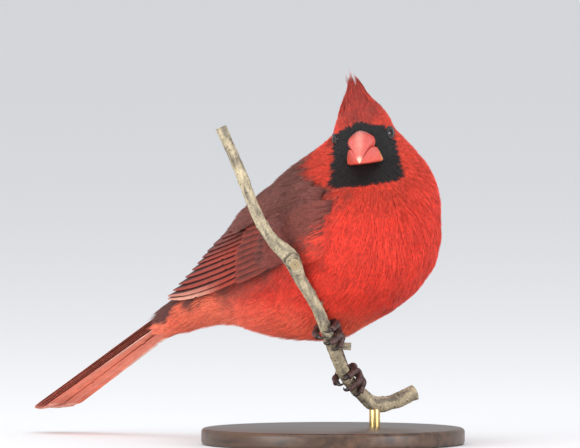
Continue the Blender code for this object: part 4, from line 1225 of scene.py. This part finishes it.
# The coverts wrap the tail's root. How far along the tail: half width, top and bottom of the wrap
COVERT_WRAP = [
    (-14, 10.5, 7.5, -14.5),
    (-4, 9.4, 5.8, -13.8),
    (8, 8.4, 3.4, -12.4),
    (20, 7.9, 1.7, -10.8),
    (32, 7.9, 1.0, -8.8),
    (40, 8.0, 0.7, -7.0),
    (48, 8.1, 0.4, -5.5),
]


def tail_coverts(seed, count, along_range, turn_range, colour, end_colour):
    draw = np.random.default_rng(seed)
    root = draw.uniform(*along_range, count)
    turn = np.radians(draw.uniform(*turn_range, count)) * draw.choice((-1, 1), count)
    reach = draw.uniform(11, 15, count)
    line = []
    for share in (0, 0.5, 1):
        wide, top, low = through(COVERT_WRAP, root + reach * share).T
        up = (top + low) / 2 + (top - low) / 2 * np.cos(turn)
        line.append(tail_place(root + reach * share, wide * np.sin(turn), up)[0])
    line = np.stack(line, 1)
    out = np.sin(turn)[:, None] * np.array((0, 1.0, 0)) + np.cos(turn)[:, None] * TAIL_UP
    tone = colour * (1 + draw.normal(0, 0.08, (count, 1)))
    spot = np.stack([0.5 + 0.14 * turn, 0.9 + 0.0015 * root], 1)
    return tuft_strands(
        line, np.stack([out] * 3, 1), np.full(count, 1.4), np.full(count, 0.5), 0.14, 10, 0.15, seed + 1,
        tone, (np.tile(end_colour, (count, 1)), 0.5), spot,
    )


# The upper coverts take the rump's darker brown, which is partly painted shade under the wing tips.
over_tail = tail_coverts(530, 460, (-12, 24), (0, 104), np.array(RUMP_BROWN_AND_SHADE), (0.15, 0.06, 0.052))
under_tail = tail_coverts(540, 560, (-12, 28), (102, 180), np.array(VENT_CORAL), (0.94, 0.30, 0.19))
coat_piece("tail_coverts", [over_tail, under_tail])


# Bill. A short, deep cone of coral horn for cracking seeds. The upper half overhangs the lower,
# and the edge bends down at the gape.

UPPER_BILL = [
    (7, 5.2, 4.4, -3.6),
    (10, 5.0, 3.9, -2.4),
    (13.5, 4.1, 2.9, -1.5),
    (17, 3.0, 1.4, -1.8),
    (20.5, 1.9, -0.6, -2.6),
    (23.3, 0.9, -2.6, -3.8),
]
LOWER_BILL = [
    (7, 6.9, -9, -3.9),
    (10, 6.6, -8.4, -2.7),
    (13.5, 5.4, -7.6, -1.8),
    (17, 3.9, -6.7, -2.1),
    (20, 2.3, -5.9, -2.9),
    (22, 1.1, -5.2, -3.9),
]
# How wide each half is from its cutting edge, 0, to its ridge or keel, 1
UPPER_SHAPE = [(0, 0.86), (0.2, 0.97), (0.4, 1), (0.62, 0.86), (0.82, 0.54), (0.94, 0.27), (1, 0)]
LOWER_SHAPE = [(0, 0.8), (0.3, 0.88), (0.6, 0.95), (0.84, 1), (0.95, 0.92), (0.99, 0.6), (1, 0)]


def bill_half(sections, tip, shape):
    stations = np.linspace(sections[0][0], sections[-1][0], 34)
    rings = []
    a = np.linspace(0, math.pi, 49)
    share = np.interp(np.sin(a), *np.transpose(shape)) * np.sign(np.cos(a))
    for forward, (half_width, far, edge) in zip(stations, through(sections, stations)):
        across = half_width * share
        rise = edge + (far - edge) * np.sin(a)
        back = np.stack([np.full(49, forward), across, rise], 1)
        inner = np.linspace(-0.75, 0.75, 9)
        mouth = np.stack([np.full(9, forward), half_width * inner, np.full(9, edge + (edge - far) * 0.02)], 1)
        rings.append(head(np.concatenate([back, mouth])))
    return loft(rings, head((sections[0][0] - 0.8, 0, sections[0][3])), head(tip))


horn, tree, shader = new_material("bill_horn", 0.34, Coat_Weight=0.25, Coat_Roughness=0.25, Specular_IOR_Level=0.5)
shader.inputs["Subsurface Weight"].default_value = 0.12
shader.inputs["Subsurface Radius"].default_value = (1.0, 0.35, 0.25)
shader.inputs["Subsurface Scale"].default_value = 0.0012
grained(tree, shader, stored_colour(tree), 420.0, 0.22, 0.12, 0.0002)

BILL_CORAL = np.array((0.66, 0.10, 0.078))
BILL_PALE = np.array((0.68, 0.31, 0.25))
for name, sections, tip, shape in (
    ("bill_upper", UPPER_BILL, (24.9, 0, -4.7), UPPER_SHAPE),
    ("bill_lower", LOWER_BILL, (23, 0, -4.8), LOWER_SHAPE),
):
    points, faces = bill_half(sections, tip, shape)
    half = new_object(name + "_horn", points, outward(points, faces))
    forward, left, up = in_head(points).T
    tone = np.tile(BILL_CORAL, (len(points), 1))
    if name == "bill_upper":
        ridge = step(2.4, 0.4, np.abs(left)) * step(-3, 1, up)
        tone = blend(tone, BILL_PALE, 0.55 * ridge)
        tone = blend(tone, (0.36, 0.16, 0.16), 0.7 * step(12, 9.5, forward) * step(1.6, 3.2, up))
        tone = blend(tone, (0.86, 0.66, 0.5), step(22.0, 24.4, forward))
    else:
        tone = blend(tone, (0.74, 0.085, 0.05), 0.8 * step(-3, -6, up))
        tone = blend(tone, (0.78, 0.5, 0.2), 0.55 * step(5.2, 6.4, np.abs(left)) * step(12, 9, forward))
    tone = tone * (1 + 0.06 * ripple(in_head(points) * (1, 3, 3), 3, 61)[:, None])
    paint(half, tone)
    half.data.materials.append(horn)
    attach(half, "root")
    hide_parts(name)


# Eyes. Dark brown and wet, with a black pupil, in a thin ring of bare dark skin. They look to the
# sides of the head.

EYE_RADIUS = 3.05
wet, tree, shader = new_material("eye_surface", 0.08, Coat_Weight=0.3, Coat_Roughness=0.02, Specular_IOR_Level=0.3)
tree.links.new(stored_colour(tree), shader.inputs["Base Color"])
lid_skin, tree, shader = new_material("lid_skin", 0.5, Specular_IOR_Level=0.4)
lid_colour = add_node(tree, "ShaderNodeRGB")
lid_colour.outputs[0].default_value = (0.026, 0.031, 0.038, 1)
grained(tree, shader, lid_colour.outputs[0], 1500.0, 0.5, 0.5)

for side, which in ((-1, "right"), (1, "left")):
    mirror = np.array((1, side, 1))
    middle, out = EYE_PLACE * mirror, EYE_OUT * mirror
    choose(skin)
    bpy.ops.object.select_all(action="DESELECT")
    bpy.ops.mesh.primitive_uv_sphere_add(
        segments=64, ring_count=40, radius=EYE_RADIUS * 0.001,
        location=tuple((head(middle) + MIDDLE) * 0.001),
    )
    eye = bpy.context.object
    eye.name = "eye_" + which + "_ball"
    bpy.ops.object.transform_apply(location=True, rotation=True, scale=True)
    eye.data.shade_smooth()
    places, _ = mesh_points(eye)
    facing = unit(in_head(places) - middle) @ out
    iris = np.array((0.035, 0.012, 0.006)) * (1 + 0.4 * ripple(places, 0.9, 70)[:, None])
    tone = blend(iris, (0.001, 0.001, 0.001), step(0.86, 0.9, facing))
    tone = blend(tone, (0.004, 0.003, 0.003), step(0.72, 0.66, facing))
    paint(eye, tone)
    eye.data.materials.append(wet)
    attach(eye, "root")
    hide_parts("eye_" + which)

    long = unit(np.array((0.93, -side * 0.36, 0.0)))
    high = unit(np.cross(out, long))
    turn, roll = np.meshgrid(
        np.linspace(0, 2 * math.pi, 72, endpoint=False), np.linspace(0, 2 * math.pi, 14, endpoint=False), indexing="ij"
    )
    opening = np.cos(turn)[..., None] * long * 2.32 + np.sin(turn)[..., None] * high * 2.12
    spoke = unit(opening) * np.cos(roll)[..., None] + out * np.sin(roll)[..., None]
    thick = 0.3 + 0.05 * np.sin(11 * turn + 2 * np.sin(3 * turn))
    ring = head((middle + out * 2.1 + opening + spoke * thick[..., None]).reshape(-1, 3))
    i, j = np.meshgrid(np.arange(72), np.arange(14), indexing="ij")
    i2, j2 = (i + 1) % 72, (j + 1) % 14
    faces = np.stack([i * 14 + j, i * 14 + j2, i2 * 14 + j2, i2 * 14 + j], -1).reshape(-1, 4)
    a, b, c = ring[faces[:, 0]], ring[faces[:, 1]], ring[faces[:, 2]]
    if (np.cross(b - a, c - a) * (a - head(middle + out * 2.1))).sum() < 0:
        faces = faces[:, ::-1]
    lid = new_object("lid_ring_" + which, ring, faces)
    lid.data.materials.append(lid_skin)
    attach(lid, "root")
    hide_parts("head")


# Perch. A length of dry shrub stem, about as thick as a pencil's lead is long, with grey-tan bark,
# dark specks, a scarred knot and two side stubs, sawn off at its upper end and broken below.

STEM = [
    (-17.8, -51.6, 45.5),
    (-12.5, -47.5, 30.1),
    (-7.3, -44.4, 14.9),
    (-3.2, -41.3, 5.8),
    (2.6, -36.5, -2),
    (2.8, -31.6, -9.4),
    (3.1, -23.5, -18.7),
    (2.1, -17, -26.8),
    (-1, -6.9, -37.4),
    (-3.2, -0.4, -43.7),
    (-4.1, 5.3, -48.7),
    (-3.4, 11, -53.1),
    (-2.4, 16.8, -56.6),
    (0.4, 23.2, -56.3),
    (4.6, 31.3, -52.8),
]
STEM_SWELL = [0.93, 0.93, 0.95, 1, 1.38, 1.03, 0.98, 1, 1.05, 1.05, 1.05, 1.08, 1.25, 1.22, 1.3]
STEM_RADIUS = 2.3
SHOOTS = [
    ((2.6, -36.5, -2.6), (7.6, -40, -4), 2.6, 2.2),
    ((0.4, -10.5, -34.2), (5.8, -6.4, -34.8), 1.2, 1.5),
    ((2.8, -22, -20.5), (5.6, -21.4, -17.3), 1.2, 0.5),
]


def stem_point(t):
    return through([(k, *point) for k, point in enumerate(STEM)], t)


def stem_swell(t):
    return through(list(enumerate(STEM_SWELL)), t)[..., 0]


def stem_way(t):
    return unit(stem_point(np.asarray(t) + 0.05) - stem_point(np.asarray(t) - 0.05))


def tube(line, radii, sides):
    """Points and triangles of a round bar along a line, with a radius for each ring and side."""
    ahead = unit(np.gradient(line, axis=0))
    side = unit(np.cross(ahead[0], (0.3, 0.2, 1.0)))
    rings = []
    turn = np.linspace(0, 2 * math.pi, sides, endpoint=False)[:, None]
    for point, way, radius in zip(line, ahead, radii):
        side = unit(side - way * (side @ way))
        other = np.cross(way, side)
        spokes = side * np.cos(turn) + other * np.sin(turn)
        rings.append(point + spokes * np.broadcast_to(radius, (sides,))[:, None])
    points, faces = loft(rings, line[0], line[-1])
    return points, outward(points, faces)


def roughened(points, faces, line, amount, seed):
    """Bark relief: long low ridges, small bumps and a few pits."""
    tree_of_line = KDTree(len(line))
    for index, place in enumerate(line):
        tree_of_line.insert(place, index)
    tree_of_line.balance()
    nearest = np.array([tree_of_line.find(point)[1] for point in points])
    spokes = points - line[nearest]
    away = unit(spokes)
    relief = 0.35 * ripple(points * (1, 1, 0.5), 5, seed) + 0.3 * ripple(points, 1.7, seed + 1)
    relief = relief + 0.22 * ripple(points, 0.9, seed + 2)
    return points + away * (relief * amount * step(0.2, 0.8, np.linalg.norm(spokes, axis=1)))[:, None], faces


BARK_TAN = np.array((0.47, 0.395, 0.265))
BARK_GREY = np.array((0.22, 0.19, 0.145))
BARK_DARK = np.array((0.04, 0.033, 0.027))
WOOD_PALE = np.array((0.50, 0.38, 0.22))


def bark_tones(length, along, turn, seed):
    """Bark colours along and round a stem: grey streaks, small pores and thin dark cracks."""
    long_way = np.stack([along * 0.22, 2.6 * np.cos(turn), 2.6 * np.sin(turn)], 1)
    fine = np.stack([along, 2.2 * np.cos(turn), 2.2 * np.sin(turn)], 1)
    tone = blend(np.tile(BARK_TAN, (len(along), 1)), BARK_GREY, step(-0.5, 1.2, ripple(long_way, 2.6, seed)))
    tone = tone * (1 + 0.14 * ripple(fine, 6, seed + 1) + 0.12 * ripple(fine, 1.1, seed + 2))[:, None]
    cracks = step(0.85, 1.4, ripple(long_way, 0.9, seed + 3)) * step(-0.5, 0.6, ripple(fine, 7, seed + 4))
    pores = step(1.0, 1.5, ripple(fine * (1.5, 1, 1), 1.5, seed + 5))
    return blend(tone, BARK_DARK, np.maximum(0.75 * cracks, 0.85 * pores))


def bark_piece(line, radii, sides, seed, amount, cut_start, cut_end):
    """A length of stem with a flat cut or broken face at each end, and the colour of each point."""
    count = len(line)
    shares = np.array([0.05, 0.25, 0.45, 0.65, 0.85, 0.97])
    first = line[0] + (line[0] - line[1]) * 0.02 * (1 - shares[::1])[:, None]
    last = line[-1] + (line[-1] - line[-2]) * 0.02 * (1 - shares[::-1])[:, None]
    whole = np.concatenate([first, line, last])
    widths = np.concatenate([radii[0] * shares, radii, radii[-1] * shares[::-1]])
    points, faces = roughened(*tube(whole, widths, sides), line, amount, seed)
    along = np.concatenate([[0.0], np.cumsum(np.linalg.norm(np.diff(whole, axis=0), axis=1))])
    turn = np.linspace(0, 2 * math.pi, sides, endpoint=False)
    grid_along = np.append(np.repeat(along, sides), (0, along[-1]))
    tone = bark_tones(along[-1], grid_along, np.append(np.tile(turn, len(whole)), (0, 0)), seed)
    share = np.concatenate([shares, np.full(count, 2.0), shares[::-1]])
    face_share = np.append(np.repeat(share, sides), (0, 0))
    rings = 0.5 + 0.5 * np.sin(face_share * 19)
    on_face = (face_share < 1.5).astype(float)
    start_half = np.append(np.repeat(np.arange(len(whole)) < count / 2, sides), (True, False))
    for half, colour in ((start_half, cut_start), (~start_half, cut_end)):
        wood = np.array(colour) * (1 - 0.35 * rings)[:, None]
        tone = blend(tone, wood, on_face * half)
    tone = blend(tone, BARK_DARK, 0.8 * on_face * step(0.2, 0.08, face_share))
    return points, faces, tone


places_along = np.linspace(0, len(STEM) - 1, 620)
stem_line = stem_point(places_along)
stem_radii = STEM_RADIUS * stem_swell(places_along) - 0.12
nodes_along = [(1.3, 0.16, 0.05), (2.45, 0.28, 0.07), (5.6, 0.12, 0.05), (9.0, 0.3, 0.06), (12.6, 0.2, 0.08)]
for at, height, breadth in nodes_along:
    stem_radii = stem_radii + height * np.exp(-(((places_along - at) / breadth) ** 2))
BROKEN_BROWN = (0.13, 0.075, 0.045)
bark_pieces = [bark_piece(stem_line, stem_radii, 72, 81, 0.2, WOOD_PALE, WOOD_PALE * 0.7)]
for index, (root, end, first, last) in enumerate(SHOOTS):
    line = np.linspace(root, end, 40)
    radii = np.linspace(first, last, 40) - 0.12
    end_colour = WOOD_PALE * 0.9 if index == 0 else BROKEN_BROWN
    bark_pieces.append(bark_piece(line, radii, 48, 90 + 10 * index, 0.15, end_colour, end_colour))
perch = new_object("perch_stem", *together([piece[:2] for piece in bark_pieces]))
bark_colours = np.concatenate([piece[2] for piece in bark_pieces])
perch_places, _ = mesh_points(perch)
scar = np.linalg.norm(perch_places - np.array((4.6, -37.8, -3.0)), axis=1)
scar_ring = np.exp(-(((scar - 3.0) / 0.5) ** 2)) * step(-0.9, 0.3, ripple(perch_places, 2.0, 99))
bark_colours = blend(bark_colours, BARK_DARK, 0.85 * scar_ring)
paint(perch, bark_colours)

bark, tree, shader = new_material("bark", 0.85, Specular_IOR_Level=0.25)
grained(tree, shader, stored_colour(tree), 1300.0, 0.45, 0.6, 0.0003)
perch.data.materials.append(bark)
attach(perch, "root")
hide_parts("perch")


# Feet. Bare, scaly and dark, with three toes forward and one back, closed round the stem. Each toe
# has plates above, pads below and a curved claw.

FEET = {"right": (7.3, (-9, -9, -18)), "left": (9.7, (-14, 6, -27.5))}
TOE_RADIUS = 1.5
CLAW_RADIUS = 0.85
TOES = [(150, -4.6, 44), (182, 1.0, 46), (148, 4.9, 42), (-112, -1.9, 46)]


def foot_frame(which):
    place, ankle = FEET[which]
    middle, way = stem_point(place), stem_way(place)
    back = np.array(ankle, float) - middle
    back = unit(back - way * (back @ way))
    front = np.cross(way, back)
    if front[0] < 0:
        front = -front
    return middle, way, back, front, STEM_RADIUS * float(stem_swell(place)) + 0.35


def round_stem(which, degrees, radius, shift):
    middle, way, back, front, _ = foot_frame(which)
    a = np.radians(degrees)[:, None]
    return middle + (back * np.cos(a) + front * np.sin(a)) * radius[:, None] + way * shift[:, None]


def scaled(radius, plates, sides, count):
    """Radii of a toe with overlapping plates on one side and pads on the other."""
    t = np.linspace(0, 1, count)[:, None]
    turn = np.linspace(0, 2 * math.pi, sides, endpoint=False)[None]
    saw = (t * plates) % 1.0
    return radius[:, None] * (1 + 0.09 * (saw - 0.5) * (0.6 + 0.4 * np.cos(turn)))


scaly, tree, shader = new_material("foot_skin", 0.48, Specular_IOR_Level=0.4)
cells = add_node(tree, "ShaderNodeTexVoronoi", feature="DISTANCE_TO_EDGE", Scale=900.0)
place = tree.nodes.new("ShaderNodeTexCoord").outputs["Object"]
tree.links.new(place, cells.inputs["Vector"])
seams = add_node(tree, "ShaderNodeValToRGB")
tree.links.new(cells.outputs["Distance"], seams.inputs["Fac"])
seams.color_ramp.elements[0].color = (0.022, 0.012, 0.012, 1)
seams.color_ramp.elements[1].position = 0.16
seams.color_ramp.elements[1].color = (0.125, 0.062, 0.056, 1)
grained(tree, shader, seams.outputs["Color"], 500.0, 0.5)
relief = add_node(tree, "ShaderNodeBump", Strength=0.6, Distance=0.00012)
tree.links.new(cells.outputs["Distance"], relief.inputs["Height"])
tree.links.new(relief.outputs["Normal"], shader.inputs["Normal"])

claw_horn, tree, shader = new_material("claw_horn", 0.3, Specular_IOR_Level=0.5)
claw_colour = add_node(tree, "ShaderNodeRGB")
claw_colour.outputs[0].default_value = (0.035, 0.022, 0.02, 1)
grained(tree, shader, claw_colour.outputs[0], 700.0, 0.4, 0.2)

for which in FEET:
    stem_place, ankle = FEET[which]
    middle, way, back, front, reach = foot_frame(which)
    pad = middle + back * (reach + 1.5)
    shank_line = pad + (np.array(ankle, float) - pad) * np.linspace(0, 1, 40)[:, None]
    shank_radii = np.interp(np.linspace(0, 1, 40), [0, 0.15, 0.6, 1], [1.5, 1.2, 1.15, 1.45])
    shells = [tube(shank_line, scaled(shank_radii, 9, 16, 40), 16)]
    pad_line = pad + back * np.linspace(-1.7, 1.7, 14)[:, None]
    pad_radii = 1.75 * np.sqrt(np.maximum(1 - np.linspace(-0.97, 0.97, 14) ** 2, 0))
    shells.append(tube(pad_line, pad_radii, 18))
    for index, (degrees, shift, sweep) in enumerate(TOES):
        t = np.linspace(0, 1, 44)
        radius = TOE_RADIUS * (1 - 0.26 * t) * (1 + 0.09 * np.cos(2 * math.pi * 3 * t))
        line = round_stem(which, degrees * t, reach + radius + 0.25, shift * t**0.7)
        shells.append(tube(line, scaled(radius, 13, 16, 44), 16))

        t = np.linspace(0, 1, 26)
        radius = CLAW_RADIUS * (1 - 0.86 * t**1.2)
        lift = 0.25 + 0.5 * np.sin(math.pi * t)
        start = math.copysign(abs(degrees) + 5, degrees)
        turn = start + math.copysign(sweep, degrees) * t
        line = round_stem(which, turn, reach + radius + lift, shift + 0.3 * t)
        claw = new_object(f"claw_{which}_{index + 1}_horn", *tube(line, radius, 14))
        claw.data.materials.append(claw_horn)
        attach(claw, "root")
        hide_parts(f"claw_{which}_{index + 1}")
    foot = new_object("foot_" + which, *together(shells))
    foot.data.materials.append(scaly)
    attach(foot, "root")
    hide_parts("leg_" + which)


# Stand. A turned disc of dark wood with an eased edge, and one short brass rod let into it that
# holds the stem from below.

BASE_PLACE = (-8, 0)
BASE_TOP = -65
BASE_HEIGHT = 6
BASE_RADIUS = 48
ROD_PLACE = (-2.4, 17)
ROD_TOP = -56.6
ROD_RADIUS = 2


def turned_disc(name, place, bottom, top, radius, ease, sides):
    bpy.ops.object.select_all(action="DESELECT")
    centre = (np.array((*place, (top + bottom) / 2)) + MIDDLE) * 0.001
    bpy.ops.mesh.primitive_cylinder_add(
        vertices=sides, radius=radius * 0.001, depth=(top - bottom) * 0.001, location=tuple(centre)
    )
    disc = bpy.context.object
    disc.name = name
    bpy.ops.object.transform_apply(location=True, rotation=True, scale=True)
    rounding = disc.modifiers.new("rounding", "BEVEL")
    rounding.width = ease * 0.001
    rounding.segments = 5
    rounding.limit_method = "ANGLE"
    apply_modifiers(disc)
    disc.data.shade_smooth()
    disc.data.set_sharp_from_angle(angle=math.radians(35))
    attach(disc, "root")
    return disc


base = turned_disc("stand_base_turned", BASE_PLACE, BASE_TOP - BASE_HEIGHT, BASE_TOP, BASE_RADIUS, 1.4, 160)
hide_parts("stand_base")
wood, tree, shader = new_material("dark_wood", 0.42, Coat_Weight=0.15, Coat_Roughness=0.3)
place = tree.nodes.new("ShaderNodeTexCoord").outputs["Object"]
long_grain = add_node(tree, "ShaderNodeMapping")
long_grain.inputs["Scale"].default_value = (8.0, 90.0, 90.0)
tree.links.new(place, long_grain.inputs["Vector"])
figure = add_node(tree, "ShaderNodeTexNoise", Scale=2.4, Detail=6.0, Roughness=0.6, Distortion=0.6)
tree.links.new(long_grain.outputs["Vector"], figure.inputs["Vector"])
tones = add_node(tree, "ShaderNodeValToRGB")
tree.links.new(figure.outputs["Fac"], tones.inputs["Fac"])
tones.color_ramp.elements[0].position = 0.35
tones.color_ramp.elements[0].color = (0.035, 0.018, 0.010, 1)
tones.color_ramp.elements[1].position = 0.68
tones.color_ramp.elements[1].color = (0.12, 0.06, 0.032, 1)
grained(tree, shader, tones.outputs["Color"], 600.0, 0.2, 0.1, 0.0001)
base.data.materials.append(wood)

rod = turned_disc("stand_rod_turned", ROD_PLACE, BASE_TOP - 2.5, ROD_TOP, ROD_RADIUS, 0.2, 48)
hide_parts("stand_rod")
brass, tree, shader = new_material("brushed_brass", 0.28, Metallic=1.0)
brass_colour = add_node(tree, "ShaderNodeRGB")
brass_colour.outputs[0].default_value = (0.65, 0.47, 0.2, 1)
grained(tree, shader, brass_colour.outputs[0], 900.0, 0.15, 0.1, 0.0001)
rod.data.materials.append(brass)


# Room. One wide pale floor, lit as on an overcast day among snow: light from all round, one very large
# soft light above and a weaker one from each side.

bpy.ops.object.select_all(action="DESELECT")
SIGHT = math.radians(40)
LOOK_DOWN = math.radians(2)
back_way = np.array(
    (math.sin(SIGHT) * math.cos(LOOK_DOWN), -math.cos(SIGHT) * math.cos(LOOK_DOWN), math.sin(LOOK_DOWN))
)
right_way = np.array((math.cos(SIGHT), math.sin(SIGHT), 0.0))
up_way = np.cross(back_way, right_way)

bpy.ops.mesh.primitive_plane_add(size=80, location=(0, 0, 0))
floor = bpy.context.object
floor.name = "pale_floor"
paper, tree, shader = new_material("pale_paper", 0.95, Specular_IOR_Level=0.1)
shader.inputs["Base Color"].default_value = (0.87, 0.875, 0.885, 1)
floor.data.materials.append(paper)


def soft_light(name, place, size, power, colour):
    light = bpy.data.lights.new(name, "AREA")
    light.shape = "DISK"
    light.size = size
    light.energy = power
    light.color = colour
    lamp = bpy.data.objects.new(name, light)
    bpy.context.scene.collection.objects.link(lamp)
    lamp.location = place
    lamp.rotation_euler = (Vector((0, 0, 0.07)) - Vector(place)).to_track_quat("-Z", "Y").to_euler()


def seen_from_camera(right, up, towards):
    return tuple(right_way * right + np.array((0, 0, 1.0)) * up + back_way * towards)


soft_light("overcast_sky", seen_from_camera(-0.3, 1.7, 0.9), 2.0, 16, (1.0, 0.99, 0.97))
soft_light("left_window", seen_from_camera(-1.5, 0.1, 1.3), 1.2, 32, (1.0, 0.98, 0.96))
soft_light("right_window", seen_from_camera(1.6, 0.1, 1.2), 1.2, 28, (0.99, 0.99, 1.0))

world = bpy.data.worlds.new("pale_surround")
bpy.context.scene.world = world
world.use_nodes = True
world.node_tree.nodes["Background"].inputs["Color"].default_value = (0.95, 0.97, 1.0, 1)
world.node_tree.nodes["Background"].inputs["Strength"].default_value = 0.78
bpy.context.scene.view_settings.view_transform = "Standard"


# Camera. 6 m off with a long lens, as for a wild bird, level with the body and a little above it. The lens
# is short enough for the other viewing angles too, which stand further back to hold the whole model.

camera = bpy.data.cameras.new("camera")
camera.sensor_width = 36
camera.lens = 1024
camera.clip_end = 100
seat = bpy.data.objects.new("camera", camera)
bpy.context.scene.collection.objects.link(seat)
target = (MIDDLE - right_way * 21.8 + up_way * 9.45) * 0.001
seat.matrix_world = Matrix.Translation(Vector(target + back_way * 6.0)) @ Matrix(
    np.stack([right_way, up_way, back_way], 1)
).to_4x4()
bpy.context.scene.camera = seat
